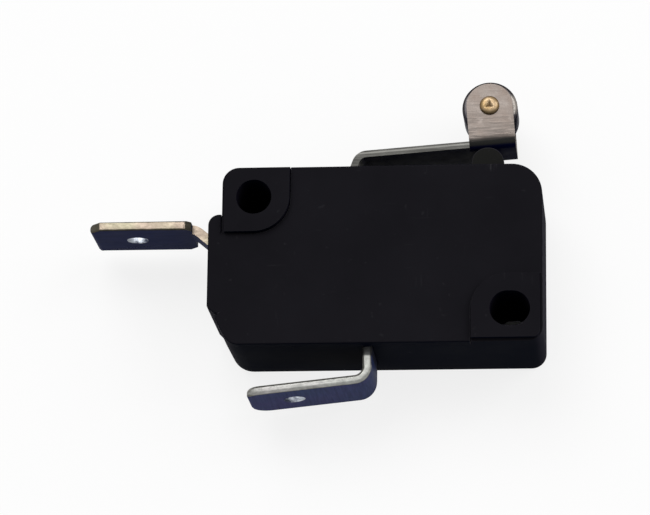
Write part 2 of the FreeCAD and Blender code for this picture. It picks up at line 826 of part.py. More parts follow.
def make_common_terminal():
    """L-bent blade under the case, its leg, the run inside and the upright for the spring."""
    body = make_body("common_terminal")
    side = half(size("tab_thickness"))
    tilt = size("common_tab_tilt")
    tip = size("common_tab_tip")
    leg = size("common_leg_along")
    run = minus(size("common_run_level"))
    slant = over(side, cosine(tilt))

    def tab_level(along, shift):
        """Height of the tilted blade at along, shifted up from its middle."""
        rise = tangent(tilt, less(along, leg))
        return add(minus(size("common_tab_level")), rise, shift)

    leg_left = less(leg, side)
    leg_right = add(leg, side)
    post_right = FAR_PAD_EDGE
    post_left = less(FAR_PAD_EDGE, size("tab_thickness"))
    shoulder = less(SPRING_POST_LEVEL, size("loop_lift"))
    tab_end = less(leg_left, size("strip_bend_radius"))
    strip_end = less(tab_end, size("strip_bend_radius"))
    corners = [
        (strip_end, tab_level(strip_end, minus(slant))),
        (leg_right, tab_level(leg_right, minus(slant))),
        (leg_right, less(run, side)),
        (post_right, less(run, side)),
        (post_right, shoulder),
        (post_left, shoulder),
        (post_left, add(run, side)),
        (leg_left, add(run, side)),
        (leg_left, tab_level(leg_left, slant)),
        (strip_end, tab_level(strip_end, slant)),
    ]
    pad(body, outline(body, corners, size("strip_margin")), STRIP_WIDTH)
    inner_bends = [corners[2], corners[6], corners[8]]
    outer_bends = [corners[1], corners[3], corners[7]]
    round_upright(body, inner_bends, size("strip_bend_radius"), MIDDLE)
    outer_radius = add(size("strip_bend_radius"), size("tab_thickness"))
    round_upright(body, outer_bends, outer_radius, MIDDLE)

    # Tab outside the case and narrow neck for the spring's loop
    back = less(MIDDLE, half(size("tab_width")))
    blade = [
        (tip, tab_level(tip, minus(slant))),
        (tab_end, tab_level(tab_end, minus(slant))),
        (tab_end, tab_level(tab_end, slant)),
        (tip, tab_level(tip, slant)),
    ]
    pad(body, outline(body, blade, back), size("tab_width"))
    neck_back = less(MIDDLE, half(size("common_neck_width")))
    neck_top = add(shoulder, size("common_neck_length"))
    neck_low = (post_left, less(shoulder, side))
    neck = box_outline(body, neck_low, (post_right, neck_top), neck_back)
    pad(body, neck, size("common_neck_width"))
    tab_hole(body, add(tip, size("tab_hole_from_tip")))
    front = add(MIDDLE, half(size("tab_width")))
    tip_level = tab_level(tip, "0")
    for depth, radius in ((front, "common_tip_round"), (back, "common_tip_round_back")):
        dress(body, "Fillet", edges_at(body, [(tip, tip_level, depth)]), size(radius))
    bevels = [(tip, tab_level(tip, slant), MIDDLE), (tip, tab_level(tip, minus(slant)), MIDDLE)]
    dress(body, "Chamfer", edges_at(body, bevels), size("tab_bevel"))
    return body


def make_contact_terminal():
    """Straight blade beside the case, sloping neck through the heel and the contact's seat."""
    body = make_body("contact_terminal")
    side = half(size("tab_thickness"))
    level = minus(size("contact_tab_level"))
    run = minus(size("contact_run_level"))
    tip = minus(size("contact_tab_tip"))
    shoulder = minus(size("contact_tab_shoulder"))
    end = size("contact_run_end")

    def slope_at(height, shift):
        """Where the neck's middle line, shifted up by shift, reaches height."""
        fall = less(add(level, shift), height)
        return (add(NECK_START, over(fall, tangent(NECK_DROP))), height)

    top = add(level, side)
    bottom = less(level, side)
    corners = [
        (tip, bottom),
        slope_at(bottom, minus(NECK_HALF)),
        slope_at(less(run, side), minus(NECK_HALF)),
        (end, less(run, side)),
        (end, add(run, side)),
        slope_at(add(run, side), NECK_HALF),
        slope_at(top, NECK_HALF),
        (tip, top),
    ]
    pad(body, outline(body, corners, NECK_BACK), size("contact_neck_width"))
    round_upright(body, [corners[1], corners[5]], size("strip_bend_radius"), MIDDLE)
    outer_radius = add(size("strip_bend_radius"), size("tab_thickness"))
    round_upright(body, [corners[2], corners[6]], outer_radius, MIDDLE)

    # Blade outside the case, and the wider run inside it that carries the contact
    back = less(MIDDLE, half(size("tab_width")))
    front = add(MIDDLE, half(size("tab_width")))
    blade = box_outline(body, (tip, bottom), (shoulder, top), back)
    pad(body, blade, size("tab_width"))
    run_start = less(size("fixed_contact_along"), half(size("contact_run_width")))
    run_box = box_outline(body, (run_start, less(run, side)), (end, add(run, side)),
                          less(MIDDLE, half(size("contact_run_width"))))
    pad(body, run_box, size("contact_run_width"))
    tab_hole(body, add(tip, size("tab_hole_from_tip")))
    corner_cuts = [
        (tip, front, "contact_tip_chamfer"),
        (shoulder, back, "shoulder_chamfer"),
        (tip, back, "tab_corner"),
        (shoulder, front, "shoulder_chamfer_front"),
    ]
    for along, depth, amount in corner_cuts:
        dress(body, "Chamfer", edges_at(body, [(along, level, depth)]), size(amount))
    bevels = [(tip, top, MIDDLE), (tip, bottom, MIDDLE)]
    dress(body, "Chamfer", edges_at(body, bevels), size("tab_bevel"))
    rivet = add(size("rivet_radius"), size("rivet_clearance"))
    below_run = add(size("contact_run_level"), size("tab_thickness"))
    hole = ring(body, (size("fixed_contact_along"), MIDDLE), rivet, below_run, "XZ_Plane")
    cut(body, hole, add(size("tab_thickness"), size("tab_thickness")), forward=False)
    return body


def make_fixed_contact():
    """Contact rivet under the contact terminal: head, shank and upset end."""
    run = minus(size("contact_run_level"))
    side = half(size("tab_thickness"))
    along = size("fixed_contact_along")
    under = less(run, side)
    face = less(under, size("fixed_contact_height"))
    head = lying("fixed_head", size("fixed_contact_radius"), size("fixed_contact_height"),
                 (along, face, MIDDLE))
    shank = lying("fixed_shank", size("rivet_radius"),
                  add(size("tab_thickness"), size("upset_height")), (along, under, MIDDLE))
    upset = lying("fixed_upset", size("upset_radius"), size("upset_height"),
                  (along, add(run, side), MIDDLE))
    return join("fixed_contact", [head, shank, upset])


def make_moving_contact():
    """Contact rivet on the blade's free end, drawn in the blade's own frame."""
    along = minus(CONTACT_ARM)
    side = half(size("blade_thickness"))
    head = lying("moving_head", size("moving_contact_radius"), size("moving_contact_height"),
                 (along, side, MIDDLE))
    shank = lying("moving_shank", size("rivet_radius"),
                  add(size("blade_thickness"), size("upset_height")),
                  (along, less(minus(side), size("upset_height")), MIDDLE))
    upset = lying("moving_upset", size("upset_radius"), size("upset_height"),
                  (along, less(minus(side), size("upset_height")), MIDDLE))
    contact = join("moving_contact", [head, shank, upset])
    stand(contact, BLADE_PIVOT, BLADE_TILT)
    return contact


def make_moving_blade():
    """Stamped blade, drawn from its knife edges at the origin along -X to its free end."""
    body = make_body("moving_blade")
    side = half(size("blade_thickness"))
    tip = minus(add(CONTACT_ARM, size("blade_overhang")))
    knife = minus(size("blade_knife"))
    profile = [(tip, minus(side)), (knife, minus(side)), ("0", "0"), (knife, side), (tip, side)]
    back = less(MIDDLE, half(size("inner_lever_width")))
    pad(body, outline(body, profile, back), size("inner_lever_width"))
    window_back = less(MIDDLE, half(size("window_width")))
    window = box_outline(body, (minus(size("window_end")), minus(size("blade_thickness"))),
                         (size("blade_knife"), size("blade_thickness")), window_back)
    cut(body, window, size("window_width"))
    bar_end = minus(add(size("window_end"), size("hook_bar")))
    hole_back = less(MIDDLE, half(size("hook_hole")))
    hole = box_outline(body, (less(bar_end, size("hook_hole")), minus(size("blade_thickness"))),
                       (bar_end, size("blade_thickness")), hole_back)
    cut(body, hole, size("hook_hole"))
    rivet = add(size("rivet_radius"), size("rivet_clearance"))
    contact = (minus(CONTACT_ARM), MIDDLE)
    cut_through(body, ring(body, contact, rivet, role="XZ_Plane"))
    stand(body, BLADE_PIVOT, BLADE_TILT)
    return body


def make_inner_lever():
    """Moulded lever under the plunger, with a barrel on the boss and two notched legs."""
    body = make_body("inner_lever")
    back = less(MIDDLE, half(size("inner_lever_width")))
    barrel = ring(body, ("0", "0"), size("inner_barrel_radius"), back)
    pad(body, barrel, size("inner_lever_width"))
    top = size("inner_lever_top")
    under = less(top, size("inner_lever_thickness"))
    end = add(less(PLUNGER_ALONG, size("inner_pivot_along")), size("inner_lever_overhang"))
    pad(body, box_outline(body, ("0", under), (end, top), back), size("inner_lever_width"))
    apex = add(NOTCH_ALONG, size("notch_gap"))
    drop = minus(size("notch_drop"))
    face = less(apex, half(size("leg_margin")))
    leg_right = add(face, size("leg_thickness"))
    foot = less(drop, size("leg_margin"))
    leg = [
        (face, foot),
        (leg_right, foot),
        (leg_right, half(under)),
        (face, half(under)),
        (face, add(drop, size("notch_mouth"))),
        (apex, drop),
        (face, less(drop, size("notch_mouth"))),
    ]
    leg_span = half(less(size("inner_lever_width"), size("window_width"), size("slot_clearance")))
    pad(body, outline(body, leg, back), leg_span)
    front_leg = less(add(back, size("inner_lever_width")), leg_span)
    pad(body, outline(body, leg, front_leg), leg_span)
    bore = add(size("inner_pivot_radius"), size("inner_pivot_clearance"))
    cut_through(body, ring(body, ("0", "0"), bore))
    stand(body, INNER_PIVOT, INNER_TILT)
    return body


SPRING_POST_ALONG = less(FAR_PAD_EDGE, half(size("tab_thickness")))
SPRING_POST_LEVEL = less(BLADE_PIVOT[1], minus(size("stop_gap")))
HOOK_ARM = add(size("window_end"), half(size("hook_bar")))
HOOK_PLACE = turned(BLADE_PIVOT, BLADE_TILT, minus(HOOK_ARM), "0")


def make_snap_spring():
    """Tension spring from the blade's hook bar to the upright, drawn along +Z."""
    wire = size("wire_radius")
    along = less(SPRING_POST_ALONG, HOOK_PLACE[0])
    rise = less(SPRING_POST_LEVEL, HOOK_PLACE[1])
    span = f"sqrt(pow({along}; 2) + pow({rise}; 2))"
    coil_length = f"({size('coil_pitch')} * {size('coil_turns')})"
    coil_end = add(size("coil_start"), coil_length)
    helix = doc.addObject("Part::Helix", "spring_helix")
    helix.setExpression("Pitch", size("coil_pitch"))
    helix.setExpression("Height", coil_length)
    helix.setExpression("Radius", size("coil_radius"))
    helix.setExpression(".Placement.Base.z", size("coil_start"))
    section = doc.addObject("Part::Circle", "spring_wire")
    section.setExpression("Radius", wire)
    section.Placement.Rotation = FreeCAD.Rotation(FreeCAD.Vector(1, 0, 0), 90)
    section.setExpression(".Placement.Base.x", size("coil_radius"))
    section.setExpression(".Placement.Base.z", size("coil_start"))
    coil = doc.addObject("Part::Sweep", "spring_coil")
    coil.Sections = [section]
    coil.Spine = (helix, ["Edge1"])
    coil.Solid = True
    coil.Frenet = True
    first_link = cylinder("spring_first_link", wire,
                          less(size("coil_start"), size("blade_loop_radius")),
                          ("0", "0", size("blade_loop_radius")))
    last_link = cylinder("spring_last_link", wire,
                         less(span, size("neck_loop_radius"), coil_end),
                         ("0", "0", coil_end))
    pieces = [coil, first_link, last_link]
    for label, level in (("spring_first_arm", size("coil_start")), ("spring_last_arm", coil_end)):
        arm = cylinder(label, wire, size("coil_radius"), ("0", "0", level))
        arm.Placement.Rotation = FreeCAD.Rotation(FreeCAD.Vector(0, 1, 0), 90)
        elbow = doc.addObject("Part::Sphere", label + "_elbow")
        elbow.setExpression("Radius", wire)
        elbow.setExpression(".Placement.Base.z", level)
        bend = doc.addObject("Part::Sphere", label + "_bend")
        bend.setExpression("Radius", wire)
        bend.setExpression(".Placement.Base.x", size("coil_radius"))
        bend.setExpression(".Placement.Base.z", level)
        pieces += [arm, elbow, bend]
    loops = (("spring_blade_loop", size("blade_loop_radius"), "0", FreeCAD.Vector(0, 1, 0)),
             ("spring_neck_loop", size("neck_loop_radius"), span, FreeCAD.Vector(1, 0, 0)))
    for label, radius, level, axis in loops:
        loop = doc.addObject("Part::Torus", label)
        loop.setExpression("Radius1", radius)
        loop.setExpression("Radius2", wire)
        loop.Placement.Rotation = FreeCAD.Rotation(axis, 90)
        loop.setExpression(".Placement.Base.z", level)
        pieces.append(loop)
    spring = join("snap_spring", pieces)
    slope = f"atan2({rise}; {along})"
    place = f"vector({HOOK_PLACE[0]}; {HOOK_PLACE[1]}; {MIDDLE})"
    spring.setExpression("Placement", f"placement({place}; rotation({slope}; 90; 0))")
    return spring


def main():
    fill_sheet()
    makers = [
        make_case,
        make_cover,
        make_plunger,
        make_roller_lever,
        make_roller,
        make_roller_pin,
        make_common_terminal,
        make_contact_terminal,
        make_fixed_contact,
        make_moving_blade,
        make_moving_contact,
        make_inner_lever,
        make_snap_spring,
    ]
    pieces = [maker() for maker in makers]
    doc.recompute()
    for item in doc.Objects:
        if "Invalid" in item.State or "Error" in item.State:
            raise RuntimeError(f"{item.Name} failed: {item.State}")
    os.makedirs("parts", exist_ok=True)
    for piece in pieces:
        shape = piece.Shape
        if shape.isNull() or not shape.isValid() or not shape.Solids:
            raise RuntimeError(f"{piece.Label} has no valid solid")
        shape.exportStep(f"parts/{piece.Label}.step")
        box = shape.BoundBox
        print(f"{piece.Label}: {len(shape.Solids)} solid, {shape.Volume:.3f} mm3, "
              f"x {box.XMin:.2f} {box.XMax:.2f}, y {box.YMin:.2f} {box.YMax:.2f}, "
              f"z {box.ZMin:.2f} {box.ZMax:.2f}")


main()
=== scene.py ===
"""Looks of the roller lever micro switch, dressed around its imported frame."""
import json
import math

import bmesh
import bpy
from mathutils import Matrix, Vector

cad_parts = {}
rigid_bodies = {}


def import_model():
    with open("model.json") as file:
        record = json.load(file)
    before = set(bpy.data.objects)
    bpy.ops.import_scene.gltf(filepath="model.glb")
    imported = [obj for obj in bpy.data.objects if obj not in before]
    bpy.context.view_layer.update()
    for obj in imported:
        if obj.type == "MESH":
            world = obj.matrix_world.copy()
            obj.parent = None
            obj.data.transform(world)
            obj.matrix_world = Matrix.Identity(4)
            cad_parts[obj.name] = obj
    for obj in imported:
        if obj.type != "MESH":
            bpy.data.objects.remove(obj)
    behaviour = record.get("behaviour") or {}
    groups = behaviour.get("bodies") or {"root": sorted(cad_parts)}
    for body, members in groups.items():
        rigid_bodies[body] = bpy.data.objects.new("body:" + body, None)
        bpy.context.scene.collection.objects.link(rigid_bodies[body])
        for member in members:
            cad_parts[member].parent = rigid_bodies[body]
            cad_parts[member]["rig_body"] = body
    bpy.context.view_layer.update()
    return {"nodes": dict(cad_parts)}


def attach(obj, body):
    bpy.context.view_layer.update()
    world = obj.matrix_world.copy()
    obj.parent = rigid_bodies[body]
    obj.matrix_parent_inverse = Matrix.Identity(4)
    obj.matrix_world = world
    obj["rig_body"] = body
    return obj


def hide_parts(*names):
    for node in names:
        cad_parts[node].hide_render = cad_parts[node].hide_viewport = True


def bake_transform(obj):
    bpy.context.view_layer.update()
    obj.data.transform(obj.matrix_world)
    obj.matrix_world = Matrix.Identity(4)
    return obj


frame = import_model()

MM = 0.001

# Distances under which corners are merged, on a made piece and on a CAD node's copy
SEAM_MM = 0.0005
NODE_SEAM_MM = 0.0008

# Circle that a turned piece's profile is swept round, and sides of a wire's round section
TURNING_CIRCLE = 1.0
WIRE_SIDES = 12

# Camera, as fitted to the case's edges, pads and holes in the photograph
CAMERA_PLACE_MM = (35.38, -92.785, 313.2)
CAMERA_TURN_DEG = (16.008, 5.356, -0.093)
CAMERA_LENS_MM = 203.3
CAMERA_SENSOR_MM = 36.0

# Axes of the two mounting holes, in millimetres, and where the floor's glow fades in round them
MOUNTING_HOLES = ((0.0, 0.0), (22.2, -10.3))
GLOW_FADES_IN = (1.9, 2.2)

# Roller and the pin that carries it
PIN_CENTRE = (20.365, 8.743)
ROLLER_RADIUS = 2.428
ROLLER_LEVELS = (3.15, 7.15)
ROLLER_BORE = 0.6
SHANK_RADIUS = 0.54
HEAD_RADIUS = 0.86
HEAD_SEAT = 0.02
EAR_FACES = (2.45, 7.85)

# Edges of the roller's painted highlight patch from the pin's centre, each from its outside to its
# inside
HIGHLIGHT_RIGHT = (1.9, 2.25)
HIGHLIGHT_BELOW = (-0.7, -0.5)
HIGHLIGHT_ABOVE = (1.3, 0.9)
HIGHLIGHT_FRONT = (ROLLER_LEVELS[1] - 0.5, ROLLER_LEVELS[1] - 0.3)

# Snap spring, from the blade's hook bar to the upright's neck, in two overlapping lengths
SPRING_HOOK = (8.451, -6.56, 5.15)
SPRING_POST = (18.45, -5.12, 5.15)
SPRING_WIRE = 0.15
HOOK_WIRE = SPRING_WIRE - 0.01
SPRING_COIL = 0.8
SPRING_PITCH = 0.55
SPRING_TURNS = 12
SPRING_COIL_START = 1.7
HOOK_RING = 0.65
POST_RING = 0.85
SPRING_PARTING = (1.05, 1.35)

# Lever: its pivot, and its strip's tilt and underside over the pivot
LEVER_PIVOT = (7.8, 1.4)
LEVER_TILT_DEG = 4.3
LEVER_UNDERSIDE = 2.66

# Bands of the lever's finish, each from its outside to its inside
BRUSHED_BELOW = (8.4, 6.8)
STRIP_LEFT_OF = (18.8, 18.75)
STRIP_TOP = (0.66, 0.63)
# Band of the strip's edge that carries a painted highlight
HIGHLIGHT_FROM = (0.26, 0.34)
HIGHLIGHT_TO = (0.48, 0.42)

# Axes of the round holes in the two tabs, along the case and across it, and the reach of their
# walls, which carry painted highlight and shade
CONTACT_TAB_HOLE = (-10.8, 5.15)
COMMON_TAB_HOLE = (3.3, 5.15)
TAB_HOLE_WALL = (0.96, 0.9)

# Limits of the strips' rounded edges
CONTACT_TAB_END = -6.0
CONTACT_HOLE_CLEAR = 1.2
COMMON_TAB_TOP = -13.0
LEVER_FOOT_TOP = 2.2

# Part of the common tab's leg under the case's slot, darkened with painted shade
LEG_SHADED_ABOVE = (-13.89, -13.77)


def vector_mm(*place):
    """A place given in millimetres."""
    return Vector(place) * MM


def plain_mesh(piece):
    """Turn what the modifiers make of a piece into its own plain mesh."""
    graph = bpy.context.evaluated_depsgraph_get()
    mesh = bpy.data.meshes.new_from_object(piece.evaluated_get(graph))
    piece.modifiers.clear()
    piece.data = mesh
    return piece


def smooth_below(mesh, degrees):
    """Shade smoothly across every edge that turns by less than degrees."""
    for face in mesh.polygons:
        face.use_smooth = True
    mesh.set_sharp_from_angle(angle=math.radians(degrees))


def closed_outwards(mesh):
    """Merge the seam and the poles of a closed mesh and point its faces outwards."""
    work = bmesh.new()
    work.from_mesh(mesh)
    bmesh.ops.remove_doubles(work, verts=work.verts, dist=SEAM_MM * MM)
    bmesh.ops.recalc_face_normals(work, faces=work.faces)
    work.to_mesh(mesh)
    work.free()


def new_piece(name, mesh):
    """An object of the scene with this mesh."""
    piece = bpy.data.objects.new(name, mesh)
    bpy.context.scene.collection.objects.link(piece)
    return piece


def shape_by(tree, piece, given):
    """Run a geometry tree on a piece with these inputs and keep what it makes."""
    shaping = piece.modifiers.new("shaping", "NODES")
    shaping.node_group = tree
    for socket in tree.interface.items_tree:
        if socket.name in given:
            shaping[socket.identifier] = given[socket.name]
    plain_mesh(piece)
    closed_outwards(piece.data)


def fit(piece, node, material):
    """Let a piece stand for a CAD node, on the node's body and with its finish."""
    piece.data.materials.clear()
    piece.data.materials.append(material)
    for face in piece.data.polygons:
        face.material_index = 0
    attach(piece, frame["nodes"][node]["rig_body"])
    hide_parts(node)


def edged_copy(node, bevel_mm, segments=2, above_deg=32, seen=None, clamp=True):
    """A merged copy of a CAD node with a small round on each sharp edge that can be seen."""
    flat_deg = 0.4
    work = bmesh.new()
    work.from_mesh(frame["nodes"][node].data)
    bmesh.ops.remove_doubles(work, verts=work.verts, dist=NODE_SEAM_MM * MM)
    bmesh.ops.dissolve_limit(
        work, angle_limit=math.radians(flat_deg), verts=work.verts, edges=work.edges)
    rounded = work.faces.layers.float.new("rounded_edge")
    sharp = []
    for edge in work.edges:
        if len(edge.link_faces) != 2 or edge.calc_face_angle() < math.radians(above_deg):
            continue
        if seen is None or all(seen(corner.co / MM) for corner in edge.verts):
            sharp.append(edge)
    rounds = bmesh.ops.bevel(
        work, geom=sharp, offset=bevel_mm * MM, segments=segments, profile=0.5,
        affect="EDGES", clamp_overlap=clamp)
    for face in rounds["faces"]:
        face[rounded] = 1.0
    mesh = bpy.data.meshes.new(node + "_edged")
    work.to_mesh(mesh)
    work.free()
    smooth_below(mesh, above_deg)
    piece = new_piece(node + "_finish", mesh)
    flat = piece.modifiers.new("flat_faces", "WEIGHTED_NORMAL")
    flat.weight = 80
    flat.keep_sharp = True
    return plain_mesh(piece)


def add_sockets(tree, inputs, outputs):
    """Give a tree its inputs and outputs; returns the nodes they enter and leave by."""
    for label, kind, start in inputs:
        socket = tree.interface.new_socket(label, in_out="INPUT", socket_type=kind)
        if start is not None:
            socket.default_value = start
    for label, kind in outputs:
        tree.interface.new_socket(label, in_out="OUTPUT", socket_type=kind)
    return tree.nodes.new("NodeGroupInput"), tree.nodes.new("NodeGroupOutput")


def geometry_nodes(tree, *kinds):
    """New nodes of these kinds in a geometry tree."""
    return [tree.nodes.new("GeometryNode" + kind) for kind in kinds]


def end_form(tree, entry, leave, form):
    """End a geometry tree with real geometry that carries the finish."""
    realize, finish = geometry_nodes(tree, "RealizeInstances", "SetMaterial")
    tree.links.new(form, realize.inputs["Geometry"])
    tree.links.new(realize.outputs["Geometry"], finish.inputs["Geometry"])
    tree.links.new(entry.outputs["Finish"], finish.inputs["Material"])
    tree.links.new(finish.outputs["Geometry"], leave.inputs[0])


# Turned pieces, made by sweeping a profile round a circle

def turned_form_tree():
    """Geometry tree that sweeps a profile, radius along X and depth along Y, round Z."""
    tree = bpy.data.node_groups.new("turned_form", "GeometryNodeTree")
    inputs = [
        ("Profile", "NodeSocketGeometry", None),
        ("Circle radius", "NodeSocketFloat", TURNING_CIRCLE * MM),
        ("Sides", "NodeSocketInt", 96),
        ("Centre", "NodeSocketVector", None),
        ("Finish", "NodeSocketMaterial", None),
    ]
    entry, leave = add_sockets(tree, inputs, [("Turned", "NodeSocketGeometry")])
    profile, circle, sweep, merge, move = geometry_nodes(
        tree, "MeshToCurve", "CurvePrimitiveCircle", "CurveToMesh", "MergeByDistance",
        "Transform")
    merge.inputs["Distance"].default_value = SEAM_MM * MM
    link = tree.links.new
    link(entry.outputs["Profile"], profile.inputs["Mesh"])
    link(entry.outputs["Circle radius"], circle.inputs["Radius"])
    link(entry.outputs["Sides"], circle.inputs["Resolution"])
    link(circle.outputs["Curve"], sweep.inputs["Curve"])
    link(profile.outputs["Curve"], sweep.inputs["Profile Curve"])
    link(sweep.outputs["Mesh"], merge.inputs["Geometry"])
    link(merge.outputs["Geometry"], move.inputs["Geometry"])
    link(entry.outputs["Centre"], move.inputs["Translation"])
    end_form(tree, entry, leave, move.outputs["Geometry"])
    return tree


TURNED_FORM = turned_form_tree()


def softened(corners, reach, closed, steps=4):
    """Profile corners replaced by small curves that start reach away from each corner."""
    edge_share = 0.45
    profile = []
    count = len(corners)
    for index, corner in enumerate(corners):
        here = Vector(corner)
        if not closed and index in (0, count - 1):
            profile.append(here)
            continue
        before = Vector(corners[index - 1]) - here
        after = Vector(corners[(index + 1) % count]) - here
        start = here + before.normalized() * min(reach, edge_share * before.length)
        end = here + after.normalized() * min(reach, edge_share * after.length)
        for step in range(steps + 1):
            share = step / steps
            first = start.lerp(here, share)
            profile.append(first.lerp(here.lerp(end, share), share))
    return profile


def turned_piece(name, profile, closed, material, sides=96):
    """A piece turned about the pin's centre from a profile of radii and levels in mm."""
    mesh = bpy.data.meshes.new(name + "_profile")
    points = [((radius - TURNING_CIRCLE) * MM, -level * MM, 0) for radius, level in profile]
    edges = [(index, index + 1) for index in range(len(points) - 1)]
    if closed:
        edges.append((len(points) - 1, 0))
    mesh.from_pydata(points, edges, [])
    piece = new_piece(name, mesh)
    shape_by(TURNED_FORM, piece, {
        "Circle radius": TURNING_CIRCLE * MM,
        "Sides": sides,
        "Centre": vector_mm(*PIN_CENTRE, 0),
        "Finish": material,
    })
    smooth_below(piece.data, 40)
    return piece


# Bent wire, made by sweeping a circle along a path

def wire_form_tree():
    """Geometry tree that sweeps a round section along a path and closes both ends."""
    tree = bpy.data.node_groups.new("wire_form", "GeometryNodeTree")
    inputs = [
        ("Path", "NodeSocketGeometry", None),
        ("Wire radius", "NodeSocketFloat", SPRING_WIRE * MM),
        ("Sides", "NodeSocketInt", WIRE_SIDES),
        ("Finish", "NodeSocketMaterial", None),
    ]
    entry, leave = add_sockets(tree, inputs, [("Wire", "NodeSocketGeometry")])
    path, section, sweep = geometry_nodes(
        tree, "MeshToCurve", "CurvePrimitiveCircle", "CurveToMesh")
    sweep.inputs["Fill Caps"].default_value = True
    link = tree.links.new
    link(entry.outputs["Path"], path.inputs["Mesh"])
    link(entry.outputs["Wire radius"], section.inputs["Radius"])
    link(entry.outputs["Sides"], section.inputs["Resolution"])
    link(path.outputs["Curve"], sweep.inputs["Curve"])
    link(section.outputs["Curve"], sweep.inputs["Profile Curve"])
    end_form(tree, entry, leave, sweep.outputs["Mesh"])
    return tree


WIRE_FORM = wire_form_tree()


def wire_piece(name, path, radius, material):
    """A round wire bent along a path of points in millimetres."""
    mesh = bpy.data.meshes.new(name + "_path")
    edges = [(index, index + 1) for index in range(len(path) - 1)]
    mesh.from_pydata([point * MM for point in path], edges, [])
    piece = new_piece(name, mesh)
    shape_by(WIRE_FORM, piece, {
        "Wire radius": radius * MM,
        "Sides": WIRE_SIDES,
        "Finish": material,
    })
    smooth_below(piece.data, 50)
    return piece


# Shader trees

def paint(red, green, blue):
    """A colour as a shader's socket takes it."""
    return (red, green, blue, 1.0)


def grey(level):
    """A neutral colour."""
    return paint(level, level, level)


def shade(colour, factor):
    """A colour made darker or lighter."""
    return paint(*(factor * channel for channel in colour[:3]))


class Tree:
    """A node tree with short calls to add nodes and link them."""

    def __init__(self, tree):
        self.tree = tree

    def node(self, kind, settings=None, **values):
        made = self.tree.nodes.new("ShaderNode" + kind)
        for key, setting in (settings or {}).items():
            setattr(made, key, setting)
        for key, given in values.items():
            self.feed(made.inputs[key.replace("_", " ")], given)
        return made

    def feed(self, socket, given):
        """Link a socket to what feeds it, or set it where a plain value is given."""
        if isinstance(given, bpy.types.NodeSocket):
            self.tree.links.new(given, socket)
        else:
            socket.default_value = given

    def math(self, operation, first, second=0.0):
        made = self.tree.nodes.new("ShaderNodeMath")
        made.operation = operation
        for socket, given in zip(made.inputs, (first, second)):
            self.feed(socket, given)
        return made.outputs[0]

    def plus(self, first, second):
        return self.math("ADD", first, second)

    def minus(self, first, second):
        return self.math("SUBTRACT", first, second)

    def times(self, first, second):
        return self.math("MULTIPLY", first, second)

    def remap(self, given, low, high, to_low=0.0, to_high=1.0, smooth=False):
        """A value moved from one range to another and clamped to it."""
        made = self.tree.nodes.new("ShaderNodeMapRange")
        made.interpolation_type = "SMOOTHSTEP" if smooth else "LINEAR"
        places = (given, low, high, to_low, to_high)
        names = ("Value", "From Min", "From Max", "To Min", "To Max")
        for name, place in zip(names, places):
            self.feed(made.inputs[name], place)
        return made.outputs["Result"]

    def between(self, given, edge_mm):
        """0 up to the first of two places in millimetres, and 1 from the second on."""
        return self.remap(given, edge_mm[0] * MM, edge_mm[1] * MM)

    def mix(self, factor, first, second, blend="MIX"):
        """A colour between two colours."""
        made = self.tree.nodes.new("ShaderNodeMix")
        made.data_type = "RGBA"
        made.blend_type = blend
        # By number, because the colour sockets share their names with those for values
        self.feed(made.inputs[0], factor)
        self.feed(made.inputs[6], first)
        self.feed(made.inputs[7], second)
        return made.outputs[2]

    def scaled(self, coordinates, x, y, z):
        """Coordinates with each axis multiplied, which stretches a pattern."""
        made = self.node("VectorMath", {"operation": "MULTIPLY"})
        self.feed(made.inputs[0], coordinates)
        made.inputs[1].default_value = (x, y, z)
        return made.outputs[0]

    def distance(self, coordinates, place):
        """How far coordinates lie from a place."""
        made = self.node("VectorMath", {"operation": "DISTANCE"})
        self.feed(made.inputs[0], coordinates)
        made.inputs[1].default_value = place
        return made.outputs["Value"]

    def noise(self, coordinates, scale, detail=2.0, roughness=0.5):
        made = self.node("TexNoise", Vector=coordinates, Scale=scale, Detail=detail,
                         Roughness=roughness)
        return made.outputs["Fac"]

    def axes(self, coordinates):
        """The three parts of a vector."""
        made = self.node("SeparateXYZ", Vector=coordinates)
        return [made.outputs[axis] for axis in "XYZ"]


def new_group(name, inputs, outputs):
    """An empty shader group; returns it with its input and output nodes."""
    group = bpy.data.node_groups.new(name, "ShaderNodeTree")
    entry, leave = add_sockets(group, inputs, outputs)
    return group, Tree(group), entry, leave


def moulded_grain_group():
    """Fine spark-eroded grain of a mould, with slow patches where it is smoother."""
    inputs = [("Coordinates", "NodeSocketVector", None), ("Grains per mm", "NodeSocketFloat", 9.0),
              ("Patches per mm", "NodeSocketFloat", 0.12)]
    outputs = [("Height", "NodeSocketFloat"), ("Patches", "NodeSocketFloat"),
               ("Specks", "NodeSocketFloat")]
    group, tree, entry, leave = new_group("moulded_grain", inputs, outputs)
    place = entry.outputs["Coordinates"]
    fine = tree.math("DIVIDE", entry.outputs["Grains per mm"], MM)
    slow = tree.math("DIVIDE", entry.outputs["Patches per mm"], MM)
    grains = tree.noise(place, fine, 3.0, 0.6)
    patches = tree.noise(place, slow, 4.0, 0.55)
    specks = tree.noise(place, tree.times(fine, 0.2), 1.0, 0.4)
    tree.feed(leave.inputs["Height"], grains)
    tree.feed(leave.inputs["Patches"], tree.remap(patches, 0.3, 0.7))
    tree.feed(leave.inputs["Specks"], tree.remap(specks, 0.74, 0.8))
    return group


